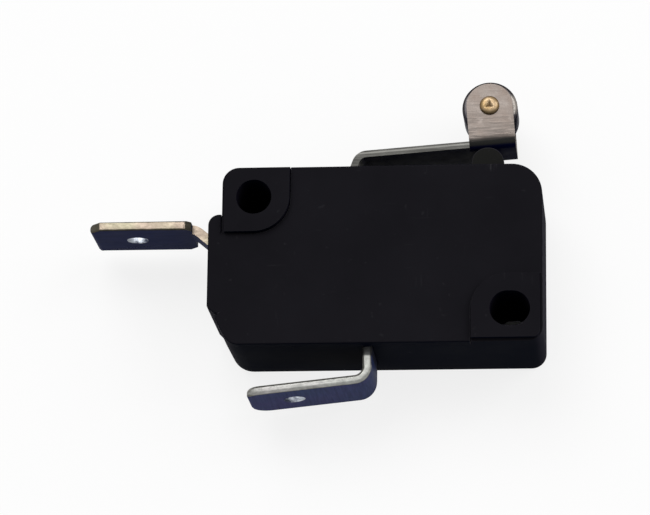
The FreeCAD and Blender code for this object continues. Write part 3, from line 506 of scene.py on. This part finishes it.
def scuffs_group():
    """Short hairline scuffs that handling leaves, lying in two directions."""
    inputs = [("Coordinates", "NodeSocketVector", None), ("Share", "NodeSocketFloat", 0.5)]
    outputs = [("Scuffs", "NodeSocketFloat")]
    group, tree, entry, leave = new_group("scuffs", inputs, outputs)
    place = entry.outputs["Coordinates"]
    hairlines = []
    for stretch in ((260, 5200, 900), (4300, 330, 900)):
        lines = tree.noise(tree.scaled(place, *stretch), 1.0, 1.0, 0.4)
        hairlines.append(tree.remap(lines, 0.735, 0.76))
    both = tree.math("MAXIMUM", *hairlines)
    where = tree.remap(tree.noise(place, 420.0, 2.0, 0.5), 0.5, 0.62)
    worn = tree.times(both, where)
    tree.feed(leave.inputs["Scuffs"], tree.times(worn, entry.outputs["Share"]))
    return group


def drawn_lines_group():
    """Rolling lines of sheet metal, and the cloudy patches of its plating."""
    inputs = [("Coordinates", "NodeSocketVector", None), ("Clouds per mm", "NodeSocketFloat", 0.6)]
    outputs = [("Lines", "NodeSocketFloat"), ("Clouds", "NodeSocketFloat"),
               ("Scratches", "NodeSocketFloat")]
    group, tree, entry, leave = new_group("drawn_lines", inputs, outputs)
    place = entry.outputs["Coordinates"]
    lines = tree.noise(place, 1.0, 3.0, 0.65)
    scratches = tree.noise(tree.scaled(place, 0.35, 0.35, 0.35), 1.0, 1.0, 0.3)
    geometry = tree.node("TexCoord")
    slow = tree.math("DIVIDE", entry.outputs["Clouds per mm"], MM)
    clouds = tree.noise(geometry.outputs["Object"], slow, 4.0, 0.6)
    tree.feed(leave.inputs["Lines"], tree.remap(lines, 0.3, 0.7))
    tree.feed(leave.inputs["Clouds"], tree.remap(clouds, 0.3, 0.7))
    tree.feed(leave.inputs["Scratches"], tree.remap(scratches, 0.66, 0.72))
    return group


def strip_faces_group():
    """Masks of a stamped strip: its sheared faces, across Z, and the rolled-over edges."""
    inputs = [("Sheared from", "NodeSocketFloat", 0.86), ("Rolled from", "NodeSocketFloat", 0.22)]
    outputs = [("Sheared", "NodeSocketFloat"), ("Rolled", "NodeSocketFloat")]
    group, tree, entry, leave = new_group("strip_faces", inputs, outputs)
    coordinates = tree.node("TexCoord")
    width = tree.math("ABSOLUTE", tree.axes(coordinates.outputs["Normal"])[2])
    uneven = tree.noise(coordinates.outputs["Object"], 1600.0, 2.0, 0.5)
    width = tree.plus(width, tree.remap(uneven, 0.3, 0.7, -0.06, 0.06))
    sheared_from = entry.outputs["Sheared from"]
    rolled_from = entry.outputs["Rolled from"]
    sheared = tree.remap(width, sheared_from, tree.plus(sheared_from, 0.1))
    rolled = tree.remap(width, rolled_from, tree.plus(rolled_from, 0.16))
    tree.feed(leave.inputs["Sheared"], sheared)
    tree.feed(leave.inputs["Rolled"], rolled)
    return group


MOULDED_GRAIN = moulded_grain_group()
SCUFFS = scuffs_group()
DRAWN_LINES = drawn_lines_group()
STRIP_FACES = strip_faces_group()


def new_material(name):
    """A material with a Principled shader; returns it, its tree and the shader."""
    material = bpy.data.materials.new(name)
    material.use_nodes = True
    tree = Tree(material.node_tree)
    shader = material.node_tree.nodes["Principled BSDF"]
    return material, tree, shader


def placed(tree, group, **values):
    """A shader group placed in a tree with these inputs."""
    made = tree.node("Group", {"node_tree": group})
    for name, given in values.items():
        tree.feed(made.inputs[name.replace("_", " ")], given)
    return made


def bump(tree, height, distance_mm, strength=1.0):
    """A normal that is tilted by heights."""
    made = tree.node("Bump", Height=height, Distance=distance_mm * MM, Strength=strength)
    return made.outputs["Normal"]


def rub_marks(tree, place, centre, reach):
    """Short upright lines that a sliding piece has rubbed round a point of the front."""
    along, across, _ = tree.axes(place)
    near_x = tree.math("ABSOLUTE", tree.minus(along, centre[0] * MM))
    near_y = tree.math("ABSOLUTE", tree.minus(across, centre[1] * MM))
    inside = tree.times(tree.remap(near_x, reach[0] * MM, 0.6 * reach[0] * MM),
                        tree.remap(near_y, reach[1] * MM, 0.5 * reach[1] * MM))
    lines = tree.noise(tree.scaled(place, 6500, 420, 900), 1.0, 2.0, 0.5)
    return tree.times(inside, tree.remap(lines, 0.52, 0.62))


def ejector_marks(tree, place, normal, marks, height):
    """Heights with the shallow round grooves that a mould's ejectors leave on the back."""
    groove = 0.08 * MM
    flat = tree.scaled(place, 1, 1, 0)
    back = tree.remap(normal[2], -0.9, -0.98)
    for along, across, radius in marks:
        away = tree.distance(flat, vector_mm(along, across, 0))
        ring = tree.math("ABSOLUTE", tree.minus(away, radius * MM))
        ring = tree.remap(ring, 0, groove, 1, 0, smooth=True)
        height = tree.minus(height, tree.times(ring, back))
    return height


def moulded_black(name, front, side, low, roughness=0.6, specular=0.004, marks=(), rubbed=None):
    """Black moulded plastic with a fine grain, scuffs, shallow round ejector marks, painted shade
    on its sides and downward faces, and a painted highlight on its rounded edges.
    """
    material, tree, shader = new_material(name)
    coordinates = tree.node("TexCoord")
    place = coordinates.outputs["Object"]
    grain = placed(tree, MOULDED_GRAIN, Coordinates=place)
    scuffs = placed(tree, SCUFFS, Coordinates=place, Share=0.6)
    normal = tree.axes(coordinates.outputs["Normal"])
    # Painted shade: darker, bluer copies of the black on the sides and the downward faces, by
    # where a face looks; with slow lighter patches
    facing = tree.remap(tree.math("ABSOLUTE", normal[2]), 0.3, 0.95)
    base = tree.mix(facing, side, front)
    base = tree.mix(tree.remap(normal[1], -0.6, -0.9), base, low)
    lighter = tree.mix(1.0, base, grey(1.3), "MULTIPLY")
    base = tree.mix(grain.outputs["Patches"], base, lighter)
    # Specks, scuffs on the front and the back, and a painted highlight along the rounded edges
    base = tree.mix(tree.times(grain.outputs["Specks"], 0.12), base, SPECK_GREY)
    worn = tree.times(scuffs.outputs["Scuffs"], facing)
    base = tree.mix(tree.times(worn, 0.14), base, SCUFF_GREY)
    rounded = tree.node("Attribute", {"attribute_name": "rounded_edge"})
    uneven = tree.remap(tree.noise(place, 700.0, 2.0, 0.5), 0.3, 0.7, 0.3, 1.0)
    edge_highlight = tree.times(rounded.outputs["Fac"], uneven)
    base = tree.mix(edge_highlight, base, EDGE_HIGHLIGHT)
    if rubbed is not None:
        lines = tree.times(rub_marks(tree, place, *rubbed), 0.3)
        base = tree.mix(lines, base, RUBBED_GREY)
    tree.feed(shader.inputs["Base Color"], base)
    tree.feed(shader.inputs["Roughness"], tree.remap(grain.outputs["Patches"], 0, 1,
                                                     roughness - 0.05, roughness + 0.1))
    height = tree.times(grain.outputs["Height"], 0.35)
    height = ejector_marks(tree, place, normal, marks, height)
    tree.feed(shader.inputs["Normal"], bump(tree, height, 0.02, 0.6))
    shader.inputs["Specular IOR Level"].default_value = specular
    return material


def sheared_colour(tree, place, mottle, edge, edge_other):
    """Mottled colour of a sheared face, with tarnished stretches and dull blotches."""
    tarnished = tree.remap(tree.noise(place, 170.0, 2.0, 0.5), 0.44, 0.58)
    blotches = tree.remap(tree.noise(place, 1100.0, 3.0, 0.6), 0.44, 0.62)
    hues = tree.mix(tarnished, edge, edge_other)
    duller, dull = [tree.mix(1.0, hues, grey(level), "MULTIPLY") for level in (0.62, 0.5)]
    sheared = tree.mix(mottle, duller, hues)
    return tree.mix(tree.times(blotches, 0.4), sheared, dull)


def stamped_plating(name, face, face_other, edge, edge_other, rolled, lines_along, hole,
                    sheared_low, dark_above=None):
    """Plated strip: bright, with a painted dark blue reflection and shade on its under and outer
    faces; bright sheared edges.
    """
    material, tree, shader = new_material(name)
    coordinates = tree.node("TexCoord")
    place = coordinates.outputs["Object"]
    lines = placed(tree, DRAWN_LINES, Coordinates=tree.scaled(place, *lines_along),
                   Clouds_per_mm=0.22)
    normal = tree.axes(coordinates.outputs["Normal"])
    masks = placed(tree, STRIP_FACES,
                   Sheared_from=tree.remap(normal[1], 0.15, -0.1, 0.86, sheared_low))
    # Broad faces with their rolling lines; the under and outer faces take a painted dark blue
    # reflection and shade
    outer = tree.remap(tree.minus(normal[0], normal[1]), 0.5, 0.8)
    dark = tree.math("MAXIMUM", tree.remap(normal[1], -0.1, -0.3), outer)
    plated = tree.mix(lines.outputs["Clouds"], PLATING_DULL, PLATING_BRIGHT)
    broad = tree.mix(lines.outputs["Clouds"], face, face_other)
    broad = tree.mix(dark, plated, broad)
    streaks = tree.remap(lines.outputs["Lines"], 0, 1, 0.72, 1.2)
    streaks_colour = tree.node("CombineColor", Red=streaks, Green=streaks, Blue=streaks)
    broad = tree.mix(1.0, broad, streaks_colour.outputs[0], "MULTIPLY")
    # Rolled-over and sheared edges
    mottle = tree.remap(tree.noise(tree.scaled(place, 1500, 2600, 700), 1.0, 4.0, 0.7), 0.36, 0.62)
    sheared = sheared_colour(tree, place, mottle, edge, edge_other)
    turned_over = tree.mix(mottle, shade(rolled, 0.6), rolled)
    base = tree.mix(masks.outputs["Rolled"], broad, turned_over)
    base = tree.mix(masks.outputs["Sheared"], base, sheared)
    # Wall of the locking hole with painted highlight and shade, and painted shade on the stretch
    # of leg under the case's slot
    away = tree.distance(tree.scaled(place, 1, 0, 1), vector_mm(hole[0], 0, hole[1]))
    painted_highlight = tree.remap(tree.noise(place, 900.0, 3.0, 0.6), 0.42, 0.54)
    wall = tree.mix(painted_highlight, WALL_SHADE_PAINT, WALL_HIGHLIGHT_PAINT)
    base = tree.mix(tree.between(away, TAB_HOLE_WALL), base, wall)
    if dark_above is not None:
        # Painted shade where the leg goes under the case's slot
        rubbed = tree.between(tree.axes(place)[1], dark_above)
        base = tree.mix(tree.times(rubbed, 0.85), base, LEG_SHADE_PAINT)
    tree.feed(shader.inputs["Base Color"], base)
    bright = tree.times(masks.outputs["Sheared"], 0.55)
    upper = tree.times(tree.minus(1.0, dark), 0.7)
    tree.feed(shader.inputs["Metallic"], tree.math("MAXIMUM", bright, upper))
    tree.feed(shader.inputs["Roughness"], tree.remap(lines.outputs["Clouds"], 0, 1, 0.36, 0.5))
    height = tree.plus(tree.times(lines.outputs["Lines"], 0.5), mottle)
    tree.feed(shader.inputs["Normal"], bump(tree, height, 0.006, 0.5))
    shader.inputs["Specular IOR Level"].default_value = 0.005
    return material


def lever_sheet(name, face, edge, under, lines_along):
    """Dull nickelled sheet: blotchy ears, lined edges with a painted highlight band, and painted
    shade darkening the faces that look at the case.
    """
    material, tree, shader = new_material(name)
    coordinates = tree.node("TexCoord")
    place = coordinates.outputs["Object"]
    lines = placed(tree, DRAWN_LINES, Coordinates=tree.scaled(place, *lines_along),
                   Clouds_per_mm=0.75)
    normal = tree.axes(coordinates.outputs["Normal"])
    along, across, _ = tree.axes(place)
    # Blotchy face, with brushed lines that are stronger below the pin
    warm = paint(*(channel * tint for channel, tint in zip(face, (0.6, 0.55, 0.52))))
    base = tree.mix(lines.outputs["Clouds"], warm, face)
    high, low = BRUSHED_BELOW
    foot = tree.remap(across, high * MM, low * MM, 0.3, 1.0)
    brushed = tree.times(tree.remap(lines.outputs["Lines"], 0.25, 0.8), foot)
    base = tree.mix(brushed, base, shade(face, 0.45))
    spots = tree.remap(tree.noise(place, 1500.0, 2.0, 0.6), 0.6, 0.72)
    base = tree.mix(tree.times(spots, 0.3), base, shade(face, 1.35))
    masks = placed(tree, STRIP_FACES, Sheared_from=0.72, Rolled_from=0.3)
    # Lined edge of the strip with a painted highlight band along it, by the height over its
    # underside
    tilt = math.radians(LEVER_TILT_DEG)
    start = (LEVER_PIVOT[1] * math.cos(tilt) - LEVER_PIVOT[0] * math.sin(tilt)
             + LEVER_UNDERSIDE) * MM
    level = tree.minus(tree.times(across, math.cos(tilt)), tree.times(along, math.sin(tilt)))
    level = tree.minus(level, start)
    strip = tree.times(tree.between(along, STRIP_LEFT_OF), tree.between(level, STRIP_TOP))
    sheared_lines = tree.noise(tree.scaled(place, 300, 5200, 500), 1.0, 2.0, 0.5)
    worn_edge = tree.mix(tree.remap(sheared_lines, 0.36, 0.64), shade(edge, 0.62), edge)
    painted_highlight = tree.times(tree.between(level, HIGHLIGHT_FROM),
                           tree.between(level, HIGHLIGHT_TO))
    edge_colour = tree.mix(tree.times(painted_highlight, 0.8), worn_edge, shade(edge, 2.3))
    base = tree.mix(tree.times(masks.outputs["Sheared"], strip), base, edge_colour)
    # Painted shade: duller and then dark where a face looks at the case
    towards_case = tree.times(normal[1], -1.0)
    base = tree.mix(tree.remap(towards_case, 0.2, 0.45, smooth=True), base, LEVER_SHADE_GREY)
    below = tree.remap(towards_case, 0.66, 0.86, smooth=True)
    base = tree.mix(below, base, under)
    tree.feed(shader.inputs["Base Color"], base)
    plated = tree.remap(towards_case, 0.2, 0.45, 0.8, 0.0)
    tree.feed(shader.inputs["Metallic"], plated)
    rough = tree.remap(lines.outputs["Clouds"], 0, 1, 0.34, 0.5)
    tree.feed(shader.inputs["Roughness"], rough)
    height = tree.plus(lines.outputs["Lines"], lines.outputs["Scratches"])
    tree.feed(shader.inputs["Normal"], bump(tree, height, 0.004, 0.5))
    shader.inputs["Specular IOR Level"].default_value = 0.004
    return material


def turned_metal(name, colour, stain, low, rim_tint, roughness, shade_from=-0.2, worn=None):
    """Turned metal: the tool's rings, a cloudy stain, a painted highlight patch where one is
    given, and painted shade where it faces the case.
    """
    material, tree, shader = new_material(name)
    coordinates = tree.node("TexCoord")
    centre = tree.node("VectorMath", {"operation": "SUBTRACT"})
    tree.feed(centre.inputs[0], coordinates.outputs["Object"])
    centre.inputs[1].default_value = vector_mm(*PIN_CENTRE, 0)
    x, y, z = tree.axes(centre.outputs[0])
    squares = [tree.times(part, part) for part in (x, y)]
    radius = tree.math("SQRT", tree.plus(*squares))
    rings_place = tree.node("CombineXYZ", X=tree.times(radius, 9000.0), Y=tree.times(z, 7000.0))
    rings = tree.noise(rings_place.outputs[0], 1.0, 2.0, 0.6)
    clouds = tree.noise(coordinates.outputs["Object"], 1100.0, 3.0, 0.55)
    base = tree.mix(tree.remap(clouds, 0.4, 0.62), stain, colour)
    # Painted highlight: a patch of the worn colour on the roller's right side
    if worn is not None:
        ragged = tree.plus(x, tree.times(clouds, 0.5 * MM))
        patch = tree.between(ragged, HIGHLIGHT_RIGHT)
        for part, edge in ((y, HIGHLIGHT_BELOW), (y, HIGHLIGHT_ABOVE), (z, HIGHLIGHT_FRONT)):
            patch = tree.times(patch, tree.between(part, edge))
        base = tree.mix(patch, base, worn)
    # Painted shade on the faces that look towards the case
    normal = tree.axes(coordinates.outputs["Normal"])
    base = tree.mix(tree.remap(normal[1], shade_from, shade_from - 0.35), base, low)
    tree.feed(shader.inputs["Base Color"], base)
    shader.inputs["Metallic"].default_value = 1.0
    shader.inputs["Specular Tint"].default_value = rim_tint
    tree.feed(shader.inputs["Roughness"], tree.remap(rings, 0.3, 0.7, roughness - 0.08,
                                                     roughness + 0.1))
    tree.feed(shader.inputs["Normal"], bump(tree, rings, 0.005, 0.6))
    return material


def plain_finish(name, colour, metallic, roughness):
    """A finish for pieces inside the case, with slow patches and a fine grain."""
    material, tree, shader = new_material(name)
    coordinates = tree.node("TexCoord")
    grain = placed(tree, MOULDED_GRAIN, Coordinates=coordinates.outputs["Object"],
                   Patches_per_mm=0.8)
    tree.feed(shader.inputs["Base Color"],
              tree.mix(grain.outputs["Patches"], shade(colour, 0.75), colour))
    shader.inputs["Metallic"].default_value = metallic
    tree.feed(shader.inputs["Roughness"], tree.remap(grain.outputs["Patches"], 0, 1,
                                                     roughness - 0.08, roughness + 0.08))
    tree.feed(shader.inputs["Normal"], bump(tree, grain.outputs["Height"], 0.004, 0.4))
    return material


# Colours of the mouldings

BLACK_FRONT = paint(0.0086, 0.0082, 0.0104)
# Painted shade: darker, bluer copies of the front's black for the sides and the downward faces
BLACK_SIDE_SHADED = paint(0.0064, 0.0058, 0.0105)
BLACK_LOW_SHADED = paint(0.0008, 0.0014, 0.004)
PLUNGER_BLACK = paint(0.0102, 0.0102, 0.0098)
SPECK_GREY = paint(0.05, 0.05, 0.055)
SCUFF_GREY = paint(0.06, 0.06, 0.065)
RUBBED_GREY = paint(0.055, 0.055, 0.058)
# Painted highlight on the mouldings' rounded edges
EDGE_HIGHLIGHT = paint(0.026, 0.025, 0.03)

# Colours of the metal pieces

PLATING_DULL = paint(0.34, 0.34, 0.33)
PLATING_BRIGHT = paint(0.46, 0.455, 0.44)
# Painted shade and painted highlight on the locking holes' walls
WALL_SHADE_PAINT = paint(0.07, 0.08, 0.12)
WALL_HIGHLIGHT_PAINT = paint(0.72, 0.76, 0.82)
# Painted shade on the common leg under the case's slot
LEG_SHADE_PAINT = paint(0.018, 0.018, 0.022)
# Painted shade on the lever's faces that look at the case
LEVER_SHADE_GREY = paint(0.03, 0.03, 0.029)
CONTACT_SILVER = paint(0.75, 0.75, 0.76)

# Places and radii of the ejector marks, and the place and reach of the plunger's rub marks
BACK_MARKS = ((-1.2, -8.6, 0.9), (6.2, -1.2, 0.9), (14.6, -12.2, 0.9), (20.6, -2.4, 0.9))
PLUNGER_RUB = ((20.65, 2.65), (0.55, 0.6))

FINISHES = {
    "case": moulded_black(
        "case_moulding", BLACK_FRONT, BLACK_SIDE_SHADED, BLACK_LOW_SHADED, marks=BACK_MARKS),
    "cover": moulded_black(
        "cover_moulding", BLACK_FRONT, BLACK_SIDE_SHADED, BLACK_LOW_SHADED, rubbed=PLUNGER_RUB),
    "plunger": moulded_black(
        "plunger_moulding", PLUNGER_BLACK, PLUNGER_BLACK, PLUNGER_BLACK,
        roughness=0.5, specular=0.01),
    "roller_lever": lever_sheet(
        "lever_nickel",
        face=paint(0.25, 0.218, 0.198), edge=paint(0.078, 0.077, 0.072),
        # under: painted shade for the lever's faces that look at the case
        under=paint(0.0022, 0.0034, 0.024), lines_along=(500, 7200, 500)),
    "roller": turned_metal(
        "roller_steel",
        colour=paint(0.068, 0.064, 0.064), stain=paint(0.04, 0.037, 0.04),
        # low: painted shade on the roller's faces towards the case; rim_tint: dark blue, a painted
        # dark reflection on its rims
        low=paint(0.03, 0.028, 0.034), rim_tint=paint(0.09, 0.09, 0.12),
        # worn: painted highlight colour for the roller's right side
        roughness=0.24, shade_from=0.05, worn=paint(0.24, 0.22, 0.2)),
    "roller_pin": turned_metal(
        "pin_brass",
        colour=paint(0.36, 0.265, 0.165), stain=paint(0.25, 0.17, 0.085),
        # low: painted shade on the pin's faces that look towards the case
        low=paint(0.12, 0.085, 0.045), rim_tint=paint(0.25, 0.16, 0.08), roughness=0.4),
    # face and face_other: painted dark blue reflection and shade on the strips' under and outer
    # faces
    "common_terminal": stamped_plating(
        "common_plating",
        face=paint(0.018, 0.035, 0.098), face_other=paint(0.046, 0.045, 0.12),
        edge=paint(0.41, 0.415, 0.39), edge_other=paint(0.42, 0.41, 0.4),
        rolled=paint(0.24, 0.235, 0.215), lines_along=(5000, 5000, 350),
        hole=COMMON_TAB_HOLE, sheared_low=0.5, dark_above=LEG_SHADED_ABOVE),
    "contact_terminal": stamped_plating(
        "contact_plating",
        face=paint(0.009, 0.0135, 0.05), face_other=paint(0.013, 0.018, 0.062),
        edge=paint(0.42, 0.385, 0.275), edge_other=paint(0.45, 0.365, 0.29),
        rolled=paint(0.08, 0.074, 0.055), lines_along=(350, 350, 5000),
        hole=CONTACT_TAB_HOLE, sheared_low=0.86),
    "fixed_contact": plain_finish("fixed_facing", CONTACT_SILVER, metallic=1.0, roughness=0.3),
    "moving_contact": plain_finish("moving_facing", CONTACT_SILVER, metallic=1.0, roughness=0.3),
    "moving_blade": plain_finish(
        "blade_copper", paint(0.7, 0.42, 0.25), metallic=1.0, roughness=0.32),
    "inner_lever": plain_finish(
        "inner_moulding", paint(0.5, 0.06, 0.04), metallic=0.0, roughness=0.45),
    "snap_spring": plain_finish(
        "spring_steel", paint(0.5, 0.5, 0.52), metallic=1.0, roughness=0.3),
}


def dress_case():
    """Case, cover and plunger with the soft edges of a moulding."""
    for node, width in (("case", 0.06), ("cover", 0.06), ("plunger", 0.08)):
        fit(edged_copy(node, width), node, FINISHES[node])


def dress_strips():
    """Terminals and lever with the rolled-over and sheared edges of stamped strip."""
    def on_straight_tab(place):
        from_hole = math.hypot(place.x - CONTACT_TAB_HOLE[0], place.z - CONTACT_TAB_HOLE[1])
        return place.x < CONTACT_TAB_END and from_hole > CONTACT_HOLE_CLEAR

    strips = [
        ("common_terminal", 0.12, True, lambda place: place.y < COMMON_TAB_TOP),
        ("contact_terminal", 0.16, False, on_straight_tab),
        ("roller_lever", 0.07, True, lambda place: place.y > LEVER_FOOT_TOP),
    ]
    for node, width, clamp, seen in strips:
        fit(edged_copy(node, width, segments=3, seen=seen, clamp=clamp), node, FINISHES[node])


def turn_roller():
    """Roller with softened rims and shallow turned recesses in both end faces."""
    low, high = ROLLER_LEVELS
    chamfer = 0.2
    recess = bore_chamfer = 0.1
    inner_rim, outer_rim = 1.15, 1.95
    end_face = [
        (ROLLER_BORE, bore_chamfer), (ROLLER_BORE + bore_chamfer, 0),
        (inner_rim, 0), (inner_rim + recess, recess),
        (outer_rim - recess, recess), (outer_rim, 0),
        (ROLLER_RADIUS - chamfer, 0), (ROLLER_RADIUS, chamfer),
    ]
    corners = [(radius, low + inwards) for radius, inwards in end_face]
    corners += [(radius, high - inwards) for radius, inwards in reversed(end_face)]
    profile = softened(corners, reach=0.05, closed=True)
    roller = turned_piece("roller_turned", profile, True, FINISHES["roller"], sides=128)
    fit(roller, "roller", FINISHES["roller"])


def head_profile(face, outwards):
    """Half profile of a riveted head from its axis to the ear it sits on."""
    flat_height = 0.36
    crown = [(0.08 * step, flat_height) for step in range(6)]
    crown += [(0.48, 0.355), (0.58, 0.335), (0.68, 0.29), (0.77, 0.215), (0.83, 0.12),
              (HEAD_RADIUS, HEAD_SEAT)]
    return [(radius, face + outwards * height) for radius, height in crown]


def punch_mark(mesh, level):
    """Press the three-sided mark of the riveting punch into what lies above this level."""
    centre = vector_mm(*PIN_CENTRE, 0)
    reach = 0.24 * MM
    depth = 0.2 * MM
    flats = [math.radians(angle) for angle in (270, 30, 150)]
    for vertex in mesh.vertices:
        if vertex.co.z < level * MM:
            continue
        spot = vertex.co - centre
        away = max(spot.x * math.cos(turn) + spot.y * math.sin(turn) for turn in flats)
        if away < reach:
            vertex.co.z -= depth * (1 - away / reach)


def rivet_pin():
    """Brass pin riveted over both ears, with a punched mark in its front head."""
    back, front = EAR_FACES
    profile = head_profile(back, -1)
    profile += [(SHANK_RADIUS, back + HEAD_SEAT), (SHANK_RADIUS, front - HEAD_SEAT)]
    profile += reversed(head_profile(front, 1))
    pin = turned_piece("pin_riveted", profile, False, FINISHES["roller_pin"], sides=72)
    punch_mark(pin.data, level=front + 0.2)
    smooth_below(pin.data, 50)
    fit(pin, "roller_pin", FINISHES["roller_pin"])


def on_spring(reach, aside=0.0, deep=0.0):
    """A point from the spring's hook along its axis, aside of it and towards the cover."""
    start = Vector(SPRING_HOOK)
    axis = (Vector(SPRING_POST) - start).normalized()
    across = Vector((-axis.y, axis.x, 0))
    return start + axis * reach + across * aside + Vector((0, 0, deep))


def hook_path():
    """Open hook round the blade's bar, and the straight wire behind it."""
    turns = [math.radians(angle) for angle in range(30, 341, 10)]
    path = [on_spring(HOOK_RING * math.cos(turn), HOOK_RING * math.sin(turn)) for turn in turns]
    path += [on_spring(HOOK_RING + 0.15, -0.04), on_spring(HOOK_RING + 0.25),
             on_spring(SPRING_PARTING[1])]
    return path


def coil_path():
    """Straight wire that overlaps the hook's, coil, and open loop round the upright's neck."""
    steps = 20
    elbow = 0.12
    coil_end = SPRING_COIL_START + SPRING_PITCH * SPRING_TURNS
    span = (Vector(SPRING_POST) - Vector(SPRING_HOOK)).length
    path = [on_spring(SPRING_PARTING[0]), on_spring(SPRING_COIL_START - elbow),
            on_spring(SPRING_COIL_START, 0, -elbow)]
    for step in range(SPRING_TURNS * steps + 1):
        turn = math.tau * step / steps
        reach = SPRING_COIL_START + SPRING_PITCH * step / steps
        path.append(on_spring(reach, SPRING_COIL * math.sin(turn), -SPRING_COIL * math.cos(turn)))
    path += [on_spring(coil_end, 0, -elbow), on_spring(coil_end + elbow),
             on_spring(span - POST_RING - 0.15)]
    for angle in range(160, -151, -10):
        turn = math.radians(angle)
        path.append(on_spring(span + POST_RING * math.cos(turn), 0, POST_RING * math.sin(turn)))
    return path


def bend_spring():
    """Snap spring: its hook goes with the blade, and its coil stays where it is made, from the
    upright.
    coil's wire goes only part of the inner lever's way, as far as the hook's end does.
    """
    finish = FINISHES["snap_spring"]
    hook = wire_piece("spring_hook", hook_path(), HOOK_WIRE, finish)
    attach(hook, frame["nodes"]["moving_blade"]["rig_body"])
    coil = wire_piece("spring_coil", coil_path(), SPRING_WIRE, finish)
    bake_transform(coil)
    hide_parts("snap_spring")


def finish_inner_pieces():
    """Rigid pieces inside the case keep their CAD mesh and take their finish."""
    for node in ("fixed_contact", "moving_contact", "moving_blade", "inner_lever"):
        mesh = frame["nodes"][node].data
        mesh.materials.clear()
        mesh.materials.append(FINISHES[node])


def seen_rays(tree):
    """1 for the rays by which a surface is seen, in a mirror and through glass too."""
    rays = tree.node("LightPath")
    seen = tree.math("MAXIMUM", rays.outputs["Is Camera Ray"], rays.outputs["Is Glossy Ray"])
    return tree.math("MAXIMUM", seen, rays.outputs["Is Transmission Ray"])


def add_floor():
    """Pale floor, lifted to white where it is seen, but left unlifted round the mounting holes'
    axes, a painted dark patch that keeps the holes in shade.
    """
    mesh = bpy.data.meshes.new("floor")
    reach = 1.5
    glow_share = 0.81
    corners = [(-reach, -reach, 0), (reach, -reach, 0), (reach, reach, 0), (-reach, reach, 0)]
    mesh.from_pydata(corners, [], [(0, 1, 2, 3)])
    floor = new_piece("floor", mesh)
    material, tree, shader = new_material("floor_paint")
    shader.inputs["Base Color"].default_value = grey(0.96)
    shader.inputs["Roughness"].default_value = 0.9
    shader.inputs["Specular IOR Level"].default_value = 0.1
    glow = tree.node("Emission", Color=grey(1.0), Strength=1.0)
    place = tree.scaled(tree.node("TexCoord").outputs["Object"], 1, 1, 0)
    lifted = tree.times(seen_rays(tree), glow_share)
    # Painted shade: no glow round the mounting holes' axes, so the floor seen through them stays
    # dark
    for centre in MOUNTING_HOLES:
        clear = tree.between(tree.distance(place, vector_mm(*centre, 0)), GLOW_FADES_IN)
        lifted = tree.times(lifted, clear)
    blend = tree.node("MixShader", Fac=lifted)
    tree.feed(blend.inputs[1], shader.outputs[0])
    tree.feed(blend.inputs[2], glow.outputs[0])
    output = material.node_tree.nodes["Material Output"]
    tree.feed(output.inputs["Surface"], blend.outputs[0])
    mesh.materials.append(material)


def add_lamp(name, place, size, power, target_mm=(11, -5, 4)):
    """A square soft lamp at a place in metres that faces the middle of the switch."""
    data = bpy.data.lights.new(name, "AREA")
    data.shape = "SQUARE"
    data.size = size
    data.energy = power
    lamp = bpy.data.objects.new(name, data)
    bpy.context.scene.collection.objects.link(lamp)
    lamp.location = place
    aim = Vector(place) - vector_mm(*target_mm)
    lamp.rotation_euler = aim.to_track_quat("Z", "Y").to_euler()


def add_light():
    """Two soft lamps above, and a world that is white where it is seen."""
    unseen_strength, seen_strength = 0.37, 1.0
    add_lamp("key_lamp", place=(-0.22, 0.45, 0.75), size=0.6, power=4.4)
    add_lamp("fill_lamp", place=(0.5, 0.2, 0.5), size=0.4, power=1.65)
    world = bpy.data.worlds.new("studio")
    bpy.context.scene.world = world
    world.use_nodes = True
    tree = Tree(world.node_tree)
    background = world.node_tree.nodes["Background"]
    background.inputs["Color"].default_value = grey(1.0)
    strength = tree.remap(seen_rays(tree), 0, 1, unseen_strength, seen_strength)
    tree.feed(background.inputs["Strength"], strength)


def add_camera():
    """Camera that sees the switch as the photograph does."""
    data = bpy.data.cameras.new("camera")
    data.lens = CAMERA_LENS_MM
    data.sensor_width = CAMERA_SENSOR_MM
    data.clip_start = 0.01
    camera = bpy.data.objects.new("camera", data)
    bpy.context.scene.collection.objects.link(camera)
    turn = Vector(CAMERA_TURN_DEG)
    rotation = Matrix.Rotation(math.radians(turn.length), 4, turn.normalized())
    camera.matrix_world = Matrix.Translation(vector_mm(*CAMERA_PLACE_MM)) @ rotation
    bpy.context.scene.camera = camera


add_camera()
dress_case()
dress_strips()
turn_roller()
rivet_pin()
bend_spring()
finish_inner_pieces()
add_floor()
add_light()
bpy.context.scene.view_settings.view_transform = "Standard"
